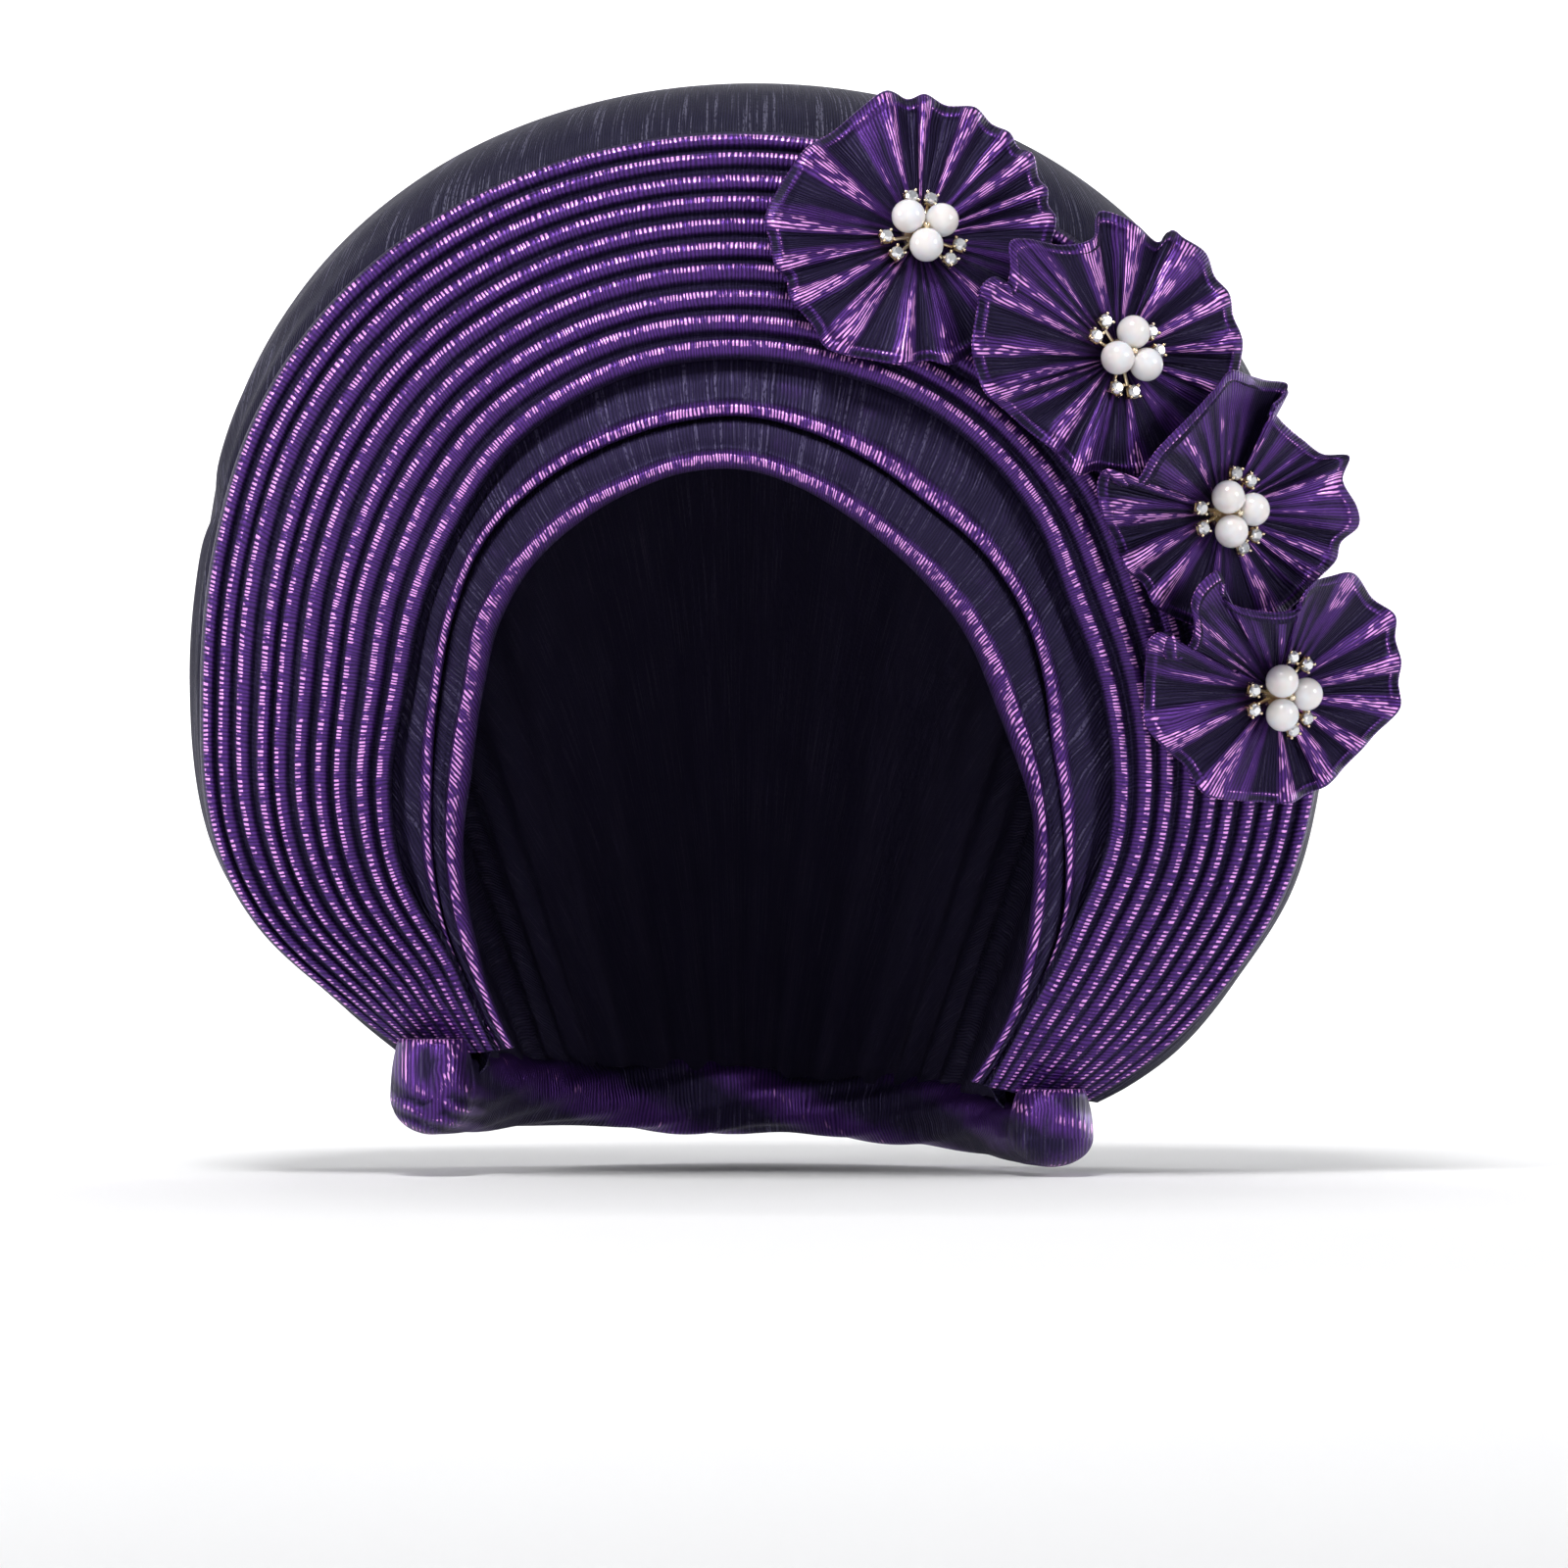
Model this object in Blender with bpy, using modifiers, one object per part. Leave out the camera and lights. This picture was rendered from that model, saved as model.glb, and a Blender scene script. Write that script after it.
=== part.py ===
"""A tied gele: a stiff pleated head tie with four ruffled rosettes, each holding a brooch.

Metres, +Z up, the face side towards -Y, the rosettes towards +X. The origin is where the top of
the head bears inside the cap. Angles run in the XZ plane about the arch centre, from straight up,
towards +X. Along the arch everything runs from the gather at -X over the top to the one at +X.
"""

from collections import namedtuple
from math import atan2, cos, degrees, hypot, pi, radians, sin, sqrt

import bmesh
import bpy
from mathutils import Matrix, Vector

# Driving sizes of the wraps
CROWN_RADIUS = 0.1418  # arch centre to the top of the crown's outline
ARCH_DROP = 0.110  # crown seat down to the arch centre
FACE_REACH = 0.090  # how far the face edge stands in front of the crown seat
WALL = 0.0012  # one layer of the stiffened cloth
GAP = 0.0003  # between pieces that touch
EDGE_ROLL = 0.0022  # rise of the two rolled fold edges
EDGE_TUCK = 0.0042  # how far the cap's edge turns in behind its fold
FLAT_SINK = 0.0004  # the flat folds behind the pleats' foot
UNDER_GAP = 0.00045  # clearance where one fold runs in under another
PLEAT_RISE = 0.0030  # a pleat's ridge over the crevices beside it
PLEAT_BACK = 0.0016  # cloth behind the crevices
HEAD_HALF_WIDTH = 0.0765
CAP_TOP = 0.0003  # the cap's inside over the crown seat
NAPE_REACH = 0.070  # the nape band's middle behind the crown seat
CROWN_REACH = 0.200  # length of the sweep that rounds the crown off at the back
CAP_REACH = 0.115  # the same sweep of the inner cap
BAND_HALF_HEIGHT_LEFT = 0.0094  # at its end at -X
BAND_HALF_HEIGHT_RIGHT = 0.0070
BAND_HALF_THICKNESS = 0.0065
BAND_DROP = 0.0012  # the nape band's top below the gathers
BAND_RIGHT_DROP = 0.0036  # how much lower its end at +X hangs
BAND_END_OUT = 0.0075  # how far its ends swing out below the gathers
BAND_END_SWELL = 0.0036  # how much thicker they are
HEM_APART = 0.0020  # each hem at the nape from the middle of the band that it stands on
NAPE_FORWARD = 0.004  # the nape curve's ends behind the crown seat
CROWN_TOP_DEPTH = 0.034  # the crown's outline behind its front edge, at the top

# Driving sizes of the rosettes and brooches
ROSETTE_SEAT = 0.0118  # radius of the flat middle that the brooch lies on
ROSETTE_LIFT = 0.0020  # the middle's front over the pleats
PETAL_RISE = 0.0048  # the rim's front over the middle
PETAL_WAVE = 0.0026  # half of a petal fold's depth at the rim
PETAL_FOLDS = 14
FRAME_THICKNESS = 0.0010
FRAME_RADIUS = 0.0108
FRAME_WAIST = 0.0046
SEAT_HEIGHT = 0.0012
PEARL_RADIUS = 0.0038
PEARL_RING = 0.0046  # brooch middle to a pearl's middle
STONE_WIDTH = 0.0032
STONE_HEIGHT = 0.0017
STONE_RING = 0.0090  # brooch middle to a stone's middle
STONE_SPREAD = 15.0  # degrees from a pair's axis to each of its stones

STATIONS = 34  # along the arch
PLEAT_PLACES = (0, 0.12, 0.245, 0.36, 0.475, 0.59, 0.69, 0.805, 0.91, 1)  # inner fold to the rim

# One row for each section of the arch. rim and face are the angles of its outer and inner end.
# The next six are distances from the arch centre, as shares of CROWN_RADIUS, and the last two say
# how far forward the face edge and the last pleat stand, as shares of FACE_REACH.
Section = namedtuple("Section", "rim face edge roll fold fan_in fan_out crown edge_out rim_out")
SECTIONS = (
    Section(-136, -147, 0.700, 0.708, 0.718, 0.728, 0.816, 0.830, 0.06, -0.06),
    Section(-130, -139, 0.645, 0.658, 0.672, 0.685, 0.830, 0.846, 0.13, -0.02),
    Section(-125, -132, 0.598, 0.620, 0.642, 0.659, 0.846, 0.862, 0.20, 0.00),
    Section(-115, -119, 0.527, 0.554, 0.589, 0.645, 0.887, 0.900, 0.32, 0.04),
    Section(-105, -106, 0.462, 0.497, 0.541, 0.614, 0.900, 0.922, 0.43, 0.09),
    Section(-90, -90, 0.424, 0.452, 0.505, 0.567, 0.884, 0.922, 0.53, 0.15),
    Section(-75, -75, 0.410, 0.443, 0.494, 0.554, 0.889, 0.932, 0.65, 0.25),
    Section(-60, -60, 0.394, 0.417, 0.489, 0.549, 0.903, 0.965, 0.78, 0.38),
    Section(-45, -45, 0.375, 0.397, 0.475, 0.554, 0.906, 0.987, 0.88, 0.50),
    Section(-30, -30, 0.362, 0.379, 0.460, 0.551, 0.898, 0.998, 0.95, 0.58),
    Section(-15, -15, 0.356, 0.375, 0.452, 0.548, 0.889, 1.000, 0.99, 0.63),
    Section(0, 0, 0.348, 0.368, 0.448, 0.543, 0.886, 1.000, 1.00, 0.64),
    Section(15, 15, 0.332, 0.352, 0.437, 0.541, 0.886, 1.002, 0.99, 0.63),
    Section(30, 30, 0.321, 0.343, 0.432, 0.548, 0.889, 1.006, 0.95, 0.58),
    Section(45, 45, 0.322, 0.344, 0.435, 0.554, 0.897, 1.000, 0.88, 0.50),
    Section(60, 60, 0.337, 0.363, 0.457, 0.557, 0.910, 0.987, 0.78, 0.38),
    Section(75, 75, 0.365, 0.392, 0.479, 0.560, 0.925, 0.971, 0.65, 0.25),
    Section(90, 90, 0.397, 0.429, 0.502, 0.595, 0.932, 0.963, 0.53, 0.15),
    Section(100, 101, 0.438, 0.471, 0.525, 0.624, 0.940, 0.967, 0.45, 0.10),
    Section(110, 113, 0.508, 0.529, 0.575, 0.654, 0.940, 0.970, 0.36, 0.05),
    Section(120, 127, 0.586, 0.605, 0.646, 0.675, 0.925, 0.949, 0.24, 0.01),
    Section(130, 140, 0.680, 0.692, 0.704, 0.716, 0.905, 0.929, 0.13, -0.03),
    Section(139.4, 150, 0.742, 0.750, 0.760, 0.770, 0.880, 0.896, 0.06, -0.06),
)

# One row for each rosette. angle and out place it, out as a share of CROWN_RADIUS. own is the
# share that it holds of the distance to the next one, and turn is its brooch's turn in degrees.
Rosette = namedtuple("Rosette", "angle out radius own turn")
ROSETTES = (
    Rosette(21.1, 0.776, 0.0335, 0.385, 6),
    Rosette(48.3, 0.810, 0.0315, 0.535, 70),
    Rosette(69.5, 0.830, 0.0310, 0.605, 20),
    Rosette(90.2, 0.870, 0.0300, 0.605, 22),
)

CENTRE = Vector((0, 0, -ARCH_DROP))


def material(name, colour, roughness, metallic, transmission=0.0):
    made = bpy.data.materials.new(name)
    made.use_nodes = True
    shader = made.node_tree.nodes["Principled BSDF"]
    shader.inputs["Base Color"].default_value = (*colour, 1)
    shader.inputs["Roughness"].default_value = roughness
    shader.inputs["Metallic"].default_value = metallic
    shader.inputs["Transmission Weight"].default_value = transmission
    return made


def new_object(name, bm, surface, smooth=True):
    """The bmesh as a named object of the part, with its own copy of the material."""
    mesh = bpy.data.meshes.new(name)
    bm.to_mesh(mesh)
    bm.free()
    mesh.materials.append(surface)
    if smooth:
        mesh.shade_smooth()
        mesh.set_sharp_from_angle(angle=radians(50))
    made = bpy.data.objects.new(name, mesh)
    bpy.data.collections["gele_head_tie"].objects.link(made)
    return made


def placed_grid(along, across, place):
    """A grid whose vertex in column i and row j lies at place(i, j)."""
    bm = bmesh.new()
    bmesh.ops.create_grid(bm, x_segments=along, y_segments=across, size=0.5)
    for vertex in bm.verts:
        i = round((vertex.co.x + 0.5) * along)
        j = round((vertex.co.y + 0.5) * across)
        vertex.co = place(i, j)
    return bm


def close_tube(bm):
    """Welds the seam of a grid that was rolled into a tube, and caps its two ends."""
    bmesh.ops.remove_doubles(bm, verts=bm.verts, dist=1e-6)
    bmesh.ops.holes_fill(bm, edges=[edge for edge in bm.edges if edge.is_boundary], sides=0)
    bmesh.ops.recalc_face_normals(bm, faces=bm.faces)


def cloth_wall(piece, wall=WALL):
    """Gives an open sheet its wall, on the side away from its normals."""
    solidify = piece.modifiers.new("wall", "SOLIDIFY")
    solidify.thickness = wall
    solidify.offset = -1
    solidify.use_even_offset = True
    solidify.thickness_clamp = 1.0


def blend(a, b, share):
    return a + (b - a) * share


def smooth_step(value):
    held = min(max(value, 0.0), 1.0)
    return held * held * (3 - 2 * held)


def section_at(share):
    """The arch's section at a share of the way along it, on a smooth curve through the table."""
    place = min(max(share, 0.0), 1.0) * (len(SECTIONS) - 1)
    first = min(int(place), len(SECTIONS) - 2)
    t = place - first
    rows = [SECTIONS[min(max(first + k, 0), len(SECTIONS) - 1)] for k in (-1, 0, 1, 2)]
    return Section(
        *(
            b + 0.5 * t * (c - a + t * (2 * a - 5 * b + 4 * c - d + t * (3 * (b - c) + d - a)))
            for a, b, c, d in zip(*rows)
        )
    )


def share_at(angle):
    """How far along the arch its rim stands at this angle."""
    low, high = 0.0, 1.0
    for _ in range(30):
        middle = (low + high) / 2
        if section_at(middle).rim < angle:
            low = middle
        else:
            high = middle
    return low


def front_depth(section, out):
    """The pleats' foot at this distance from the arch centre, leaning back towards the rim."""
    along = max(0.0, (out - section.edge) / (section.fan_out - section.edge))
    return -FACE_REACH * blend(section.edge_out, section.rim_out, min(along, 1.25) ** 1.6)


def section_angle(section, out):
    """A section skews near the gathers, so its angle changes from its inner to its outer end."""
    along = (out - section.edge) / (section.crown - section.edge)
    return radians(blend(section.face, section.rim, along))


def on_front(section, out, lift=0.0):
    """The point at this share of CROWN_RADIUS, lifted towards the viewer from the pleats' foot."""
    angle = section_angle(section, out)
    reach = out * CROWN_RADIUS
    return Vector(
        (reach * sin(angle), front_depth(section, out) - lift, CENTRE.z + reach * cos(angle))
    )


def fullness(section):
    """1 at the top of the arch, 0 at its gathers."""
    low = cos(radians(SECTIONS[0].rim) / 2)
    return max(0.0, (cos(radians(section.rim) / 2) - low) / (1 - low))


def fold_rise(share):
    """Folds flatten where the cloth is gathered at the jaw."""
    from_end = min(share, 1 - share)
    return blend(0.12, 1.0, smooth_step(from_end / 0.16))


def hem_point(share, outward, height):
    """A point on the nape's curve behind the neck, from one gather to the other."""
    turn = radians(blend(-84, 84, share))
    left, right = (on_front(section, section.fold) for section in (SECTIONS[0], SECTIONS[-1]))
    half_width = (right.x - left.x) / 2 + CROWN_RADIUS * 0.06
    half_drop = (left.z - right.z) / 2
    middle_z = (left.z + right.z) / 2 - BAND_DROP
    return Vector(
        (
            (left.x + right.x) / 2 + (half_width + outward) * sin(turn),
            (NAPE_REACH + outward) * cos(turn) + NAPE_FORWARD,
            middle_z - half_drop * sin(turn) + height,
        )
    )


def sweep_to_nape(ring, hem, reach, turn):
    """A point on the quarter oval that leaves the ring straight back and ends on the hem."""
    back = Vector((0, reach, 0))
    return ring + back * sin(turn) + (hem - ring - back) * (1 - cos(turn))


def polar(angle, reach, depth):
    return Vector((reach * sin(angle), depth, CENTRE.z + reach * cos(angle)))


def base_cap(surface):
    """The inner cap: a rolled edge round the face, a flat fold, and a dome over the head."""
    width = HEAD_HALF_WIDTH + WALL
    height = ARCH_DROP + CAP_TOP + WALL
    dome_turns = (30, 60, 90)
    nape_turns = (25, 50, 70, 90)

    def front(section, rise, j):
        flat = section.fold - section.roll
        width_above = section.fan_in - section.fold
        tucked = section.fold - 0.17 * width_above
        if j == 5:
            start = on_front(section, section.fold + min(0.025, 0.3 * width_above))
            start.y = front_depth(section, section.fan_in + 0.016) + PLEAT_BACK + WALL + 7 * GAP
            return start
        places = (
            (section.edge, -EDGE_TUCK),
            (blend(section.edge, section.roll, 0.3), 0.2 * EDGE_ROLL * rise),
            (section.roll, EDGE_ROLL * rise),
            (section.roll + 0.3 * flat, -FLAT_SINK),
            (tucked, lip_lift(section) - WALL - UNDER_GAP),
        )
        out, lift = places[j]
        return on_front(section, out, lift)

    def place(i, j):
        share = i / STATIONS
        section = section_at(share)
        if j < 6:
            return front(section, fold_rise(share), j)
        start = front(section, 1, 5)
        angle = atan2(start.x, start.z - CENTRE.z)
        inner = hypot(start.x, start.z - CENTRE.z)
        head = 1 / sqrt((sin(angle) / width) ** 2 + (cos(angle) / height) ** 2)
        outer = max(head, inner + 0.0006)
        full = sqrt(fullness(section))
        ring_depth = blend(start.y + 0.006, 0.0, full)
        if j < 9:
            turn = radians(dome_turns[j - 6])
            depth = blend(start.y, ring_depth, 1 - cos(turn))
            return polar(angle, blend(inner, outer, sin(turn)), depth)
        ring = polar(angle, outer, ring_depth)
        hem = hem_point(share, -HEM_APART, 0)
        turn = radians(nape_turns[j - 9])
        return sweep_to_nape(ring, hem, CAP_REACH * fullness(section) + 0.002, turn)

    rows = 6 + len(dome_turns) + len(nape_turns) - 1
    cloth_wall(new_object("base_cap", placed_grid(STATIONS, rows, place), surface))


def fold_openness(section):
    """1 where the second fold is wide, falling to 0 where it narrows into a gather."""
    return smooth_step((section.fan_in - section.fold) / 0.06)


def lip_lift(section):
    """The second fold's inner lip, which sinks under the pleats where the fold narrows."""
    return blend(-PLEAT_BACK - UNDER_GAP, -FLAT_SINK, fold_openness(section))


def second_fold(surface):
    """A strip with a rolled edge, lying on the cap's flat fold and running in under the pleats."""

    def place(i, j):
        share = i / STATIONS
        section = section_at(share)
        width = section.fan_in - section.fold
        under = section.fan_in - 0.07 * (section.fan_out - section.fan_in)
        below = -PLEAT_BACK - UNDER_GAP
        roll = blend(below, EDGE_ROLL * fold_rise(share), fold_openness(section))
        places = (
            (section.fold - 0.12 * width, lip_lift(section)),
            (section.fold, roll),
            (blend(section.fold, under, 0.2), blend(lip_lift(section), roll, 0.6)),
            (blend(section.fold, under, 0.5), lip_lift(section)),
            (under, below),
            (section.fan_in + 0.014, below - GAP),
        )
        return on_front(section, *places[j])

    cloth_wall(new_object("second_fold", placed_grid(STATIONS, 5, place), surface))


def pleated_fan(surface):
    """The fan: ten ridges side by side on one backing, flattened together at the gathers."""

    def outline(section, rise):
        spread = section.fan_out - section.fan_in
        points = []
        for n, ridge in enumerate(PLEAT_PLACES):
            before = PLEAT_PLACES[n - 1] if n else ridge - 0.11
            after = PLEAT_PLACES[n + 1] if n + 1 < len(PLEAT_PLACES) else ridge + 0.09
            low, high = (ridge - before) / 2, (after - ridge) / 2
            for place, lift in ((-low, 0.0), (-0.45 * low, 0.86), (0.4 * high, 0.9)):
                points.append((section.fan_in + (ridge + place) * spread, lift * PLEAT_RISE * rise))
        points.append((section.fan_out + 0.045 * spread, 0.0))
        points += [
            (section.fan_in + place * spread, -PLEAT_BACK) for place in (1.03, 0.75, 0.5, 0.25, -0.03)
        ]
        return points

    loops = []
    for i in range(STATIONS + 1):
        share = i / STATIONS
        section = section_at(share)
        loops.append([on_front(section, *point) for point in outline(section, fold_rise(share))])
    count = len(loops[0])
    bm = placed_grid(STATIONS, count, lambda i, j: loops[i][j % count])
    close_tube(bm)
    new_object("pleated_fan", bm, surface)


def crown_wrap(surface):
    """The plain outer cloth, from behind the last pleat over the crown and down to the nape."""
    rim_turns = (0, 30, 60, 90)
    nape_turns = (16, 32, 48, 64, 78, 90)

    def place(i, j):
        share = i / STATIONS
        section = section_at(share)
        spread = section.fan_out - section.fan_in
        start = on_front(section, section.fan_out - 0.004)
        start.y = front_depth(section, section.fan_out + 0.05 * spread) + PLEAT_BACK + UNDER_GAP
        angle = radians(section.rim)
        inner = hypot(start.x, start.z - CENTRE.z)
        outer = section.crown * CROWN_RADIUS
        full = fullness(section)
        ring_depth = start.y + 0.004 + CROWN_TOP_DEPTH * full**0.7
        start_angle = atan2(start.x, start.z - CENTRE.z)
        if j < len(rim_turns):
            turn = radians(rim_turns[j])
            depth = blend(start.y, ring_depth, 1 - cos(turn))
            along = sin(turn)
            return polar(blend(start_angle, angle, along), blend(inner, outer, along), depth)
        ring = polar(angle, outer, ring_depth)
        hem = hem_point(share, HEM_APART, 0)
        turn = radians(nape_turns[j - len(rim_turns)])
        return sweep_to_nape(ring, hem, CROWN_REACH * full + 0.002, turn)

    rows = len(rim_turns) + len(nape_turns) - 1
    cloth_wall(new_object("crown_wrap", placed_grid(STATIONS, rows, place), surface))


def nape_band(surface):
    """The wound roll behind the neck, which swells and rounds off below the gathers."""
    stations, sides = 18, 12
    end_sizes = (0.45, 0.82, 0.96, 1.0)

    def place(i, j):
        share = i / stations
        from_end = min(i, stations - i)
        size = end_sizes[min(from_end, len(end_sizes) - 1)]
        end = smooth_step((0.2 - min(share, 1 - share)) / 0.16)
        turn = 2 * pi * (j % sides) / sides
        thickness = BAND_HALF_THICKNESS + BAND_END_SWELL * end
        outward = BAND_END_OUT * end + thickness * size * cos(turn)
        drop = BAND_RIGHT_DROP * smooth_step((share - 0.7) / 0.2)
        half_height = blend(BAND_HALF_HEIGHT_LEFT, BAND_HALF_HEIGHT_RIGHT, share)
        height = -half_height * (1 + size * sin(turn)) - GAP - drop
        return hem_point(blend(-0.12, 1.12, share), outward, height)

    bm = placed_grid(stations, sides, place)
    close_tube(bm)
    new_object("nape_band", bm, surface)


def rosette_centre(row):
    angle = radians(row.angle)
    return Vector((row.out * CROWN_RADIUS * sin(angle), CENTRE.z + row.out * CROWN_RADIUS * cos(angle)))


def foot_depth(x, z):
    """The pleats' foot behind a point of the front view."""
    angle = degrees(atan2(x, z - CENTRE.z))
    section = section_at(share_at(angle))
    return front_depth(section, hypot(x, z - CENTRE.z) / CROWN_RADIUS)


def rosette_frame(row):
    """The plane of a rosette's flat middle: its matrix has the front as its Z and up as its Y."""
    middle = rosette_centre(row)
    step = ROSETTE_SEAT * 0.8
    slope_x = (foot_depth(middle.x + step, middle.y) - foot_depth(middle.x - step, middle.y)) / (2 * step)
    slope_z = (foot_depth(middle.x, middle.y + step) - foot_depth(middle.x, middle.y - step)) / (2 * step)
    front = Vector((slope_x, -1, slope_z)).normalized()
    right = Vector((1, slope_x, 0)).normalized()
    up = front.cross(right)
    place = Vector((middle.x, foot_depth(middle.x, middle.y) - PLEAT_RISE - ROSETTE_LIFT, middle.y))
    return Matrix.Translation(place) @ Matrix((right, up, front)).transposed().to_4x4()


def rosette(number, surface):
    """A ruffled disc: a flat middle, folds that deepen to the rim, and its neighbours pressing it."""
    row = ROSETTES[number]
    middle = rosette_centre(row)
    frame = rosette_frame(row)
    pressed = []
    for other in (number - 1, number + 1):
        if 0 <= other < len(ROSETTES):
            way = rosette_centre(ROSETTES[other]) - middle
            own = row.own if other > number else 1 - ROSETTES[other].own
            pressed.append((atan2(way.x, way.y), own * way.length - GAP - WALL))

    def reach(turn):
        held = row.radius
        for towards, distance in pressed:
            facing = cos(turn - towards)
            if facing > 0.05:
                held = min(held, distance / facing)
        return held

    around = 2 * PETAL_FOLDS
    rings = (0.0, 0.34, 0.68, 1.0)

    def place(i, j):
        turn = 2 * pi * (i % around) / around
        along = Vector((sin(turn), cos(turn)))
        if j == 0:
            return frame @ Vector((ROSETTE_SEAT * along.x, ROSETTE_SEAT * along.y, 0))
        held = reach(turn)
        at = blend(ROSETTE_SEAT, held, rings[j])
        x, z = middle.x + at * along.x, middle.y + at * along.y
        wave = PETAL_WAVE * rings[j] * (1 if i % 2 else -1)
        rise = PETAL_RISE * rings[j] ** 0.7 + 0.55 * (row.radius - held) * rings[j] ** 2
        return Vector((x, foot_depth(x, z) - PLEAT_RISE - ROSETTE_LIFT - rise - wave, z))

    bm = placed_grid(around, len(rings) - 1, place)
    bmesh.ops.remove_doubles(bm, verts=bm.verts, dist=1e-6)
    inner = [edge for edge in bm.edges if edge.is_boundary and all(
        (frame.inverted() @ v.co).length < ROSETTE_SEAT * 1.05 for v in edge.verts
    )]
    bmesh.ops.holes_fill(bm, edges=inner, sides=0)
    cloth_wall(new_object(f"rosette_{number + 1}", bm, surface))


def stone_places(row):
    """The six stones' angles, in pairs about three axes."""
    for axis in (0, 120, 240):
        for side in (-1, 1):
            yield radians(row.turn + axis + side * STONE_SPREAD)


def brooch_frame(number, surface):
    """A star-shaped gold plate with six raised seats, as one solid."""
    row = ROSETTES[number]
    place = rosette_frame(row) @ Matrix.Translation((0, 0, GAP))
    points = 36
    bm = bmesh.new()
    bmesh.ops.create_circle(bm, cap_ends=True, segments=points, radius=1)
    for vertex in bm.verts:
        turn = atan2(vertex.co.x, vertex.co.y)
        nearest = max(cos(turn - seat) for seat in stone_places(row))
        reach = blend(FRAME_WAIST, FRAME_RADIUS, smooth_step((nearest - 0.93) / 0.06))
        vertex.co = Vector((reach * sin(turn), reach * cos(turn), 0))
    top = bmesh.ops.extrude_face_region(bm, geom=bm.faces[:])["geom"]
    lifted = [item for item in top if isinstance(item, bmesh.types.BMVert)]
    bmesh.ops.translate(bm, verts=lifted, vec=(0, 0, FRAME_THICKNESS))
    bmesh.ops.recalc_face_normals(bm, faces=bm.faces)
    bmesh.ops.transform(bm, matrix=place, verts=bm.verts)
    plate = new_object(f"brooch_{number + 1}_frame", bm, surface)

    seats = bmesh.new()
    height = FRAME_THICKNESS / 2 + SEAT_HEIGHT
    for turn in stone_places(row):
        middle = Vector((STONE_RING * sin(turn), STONE_RING * cos(turn), FRAME_THICKNESS / 2 + height / 2))
        turned = Matrix.Rotation(pi / 4 - turn, 4, "Z")
        bmesh.ops.create_cone(
            seats,
            cap_ends=True,
            segments=4,
            radius1=STONE_WIDTH * 0.30,
            radius2=STONE_WIDTH * 0.62,
            depth=height,
            matrix=place @ Matrix.Translation(middle) @ turned,
        )
    mesh = bpy.data.meshes.new("seats")
    seats.to_mesh(mesh)
    seats.free()
    cutter = bpy.data.objects.new(f"brooch_{number + 1}_seats", mesh)
    cutter.hide_render = True
    cutter.display_type = "WIRE"
    bpy.data.collections["guides"].objects.link(cutter)
    join = plate.modifiers.new("seats", "BOOLEAN")
    join.operation = "UNION"
    join.object = cutter


def pearls(number, surface):
    row = ROSETTES[number]
    frame = rosette_frame(row)
    height = 2 * GAP + FRAME_THICKNESS + PEARL_RADIUS
    for n, axis in enumerate((60, 180, 300)):
        turn = radians(row.turn + axis)
        place = Matrix.Translation((PEARL_RING * sin(turn), PEARL_RING * cos(turn), height))
        bm = bmesh.new()
        bmesh.ops.create_uvsphere(bm, u_segments=10, v_segments=6, radius=PEARL_RADIUS)
        bmesh.ops.transform(bm, matrix=frame @ place, verts=bm.verts)
        new_object(f"brooch_{number + 1}_pearl_{n + 1}", bm, surface)


def stones(number, surface):
    """Square stones with cut corners: a flat foot, a girdle, eight crown facets and a table."""
    row = ROSETTES[number]
    frame = rosette_frame(row)
    foot = 2 * GAP + FRAME_THICKNESS + SEAT_HEIGHT
    half = STONE_WIDTH / 2
    levels = ((0.0, 0.55), (0.5 * STONE_HEIGHT, 1.0), (STONE_HEIGHT, 0.58))
    for n, turn in enumerate(stone_places(row)):
        bm = bmesh.new()
        bmesh.ops.create_circle(bm, cap_ends=True, segments=8, radius=1)
        for index, vertex in enumerate(bm.verts):
            corner = pi / 4 + (index // 2) * pi / 2
            side = radians(15) * (1 if index % 2 else -1)
            vertex.co = Vector((cos(corner + side), sin(corner + side), 0)) * half * 1.15
        widest = [vertex.co.copy() for vertex in bm.verts]
        current = bm.verts[:]
        for vertex in current:
            vertex.co *= levels[0][1]
        top = next(iter(bm.faces))
        for height, size in levels[1:]:
            bottom = top
            grown = bmesh.ops.extrude_face_region(bm, geom=[bottom])["geom"]
            top = next(item for item in grown if isinstance(item, bmesh.types.BMFace))
            for vertex in top.verts:
                outline = max(widest, key=lambda point: vertex.co.xy.dot(point.xy))
                vertex.co = Vector((outline.x * size, outline.y * size, height))
            if height == STONE_HEIGHT:
                bmesh.ops.delete(bm, geom=[bottom], context="FACES_ONLY")
        bmesh.ops.recalc_face_normals(bm, faces=bm.faces)
        turned = Matrix.Rotation(-turn, 4, "Z")
        middle = Matrix.Translation((STONE_RING * sin(turn), STONE_RING * cos(turn), foot))
        bmesh.ops.transform(bm, matrix=frame @ middle @ turned, verts=bm.verts)
        new_object(f"brooch_{number + 1}_stone_{n + 1}", bm, surface, smooth=False)


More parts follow.
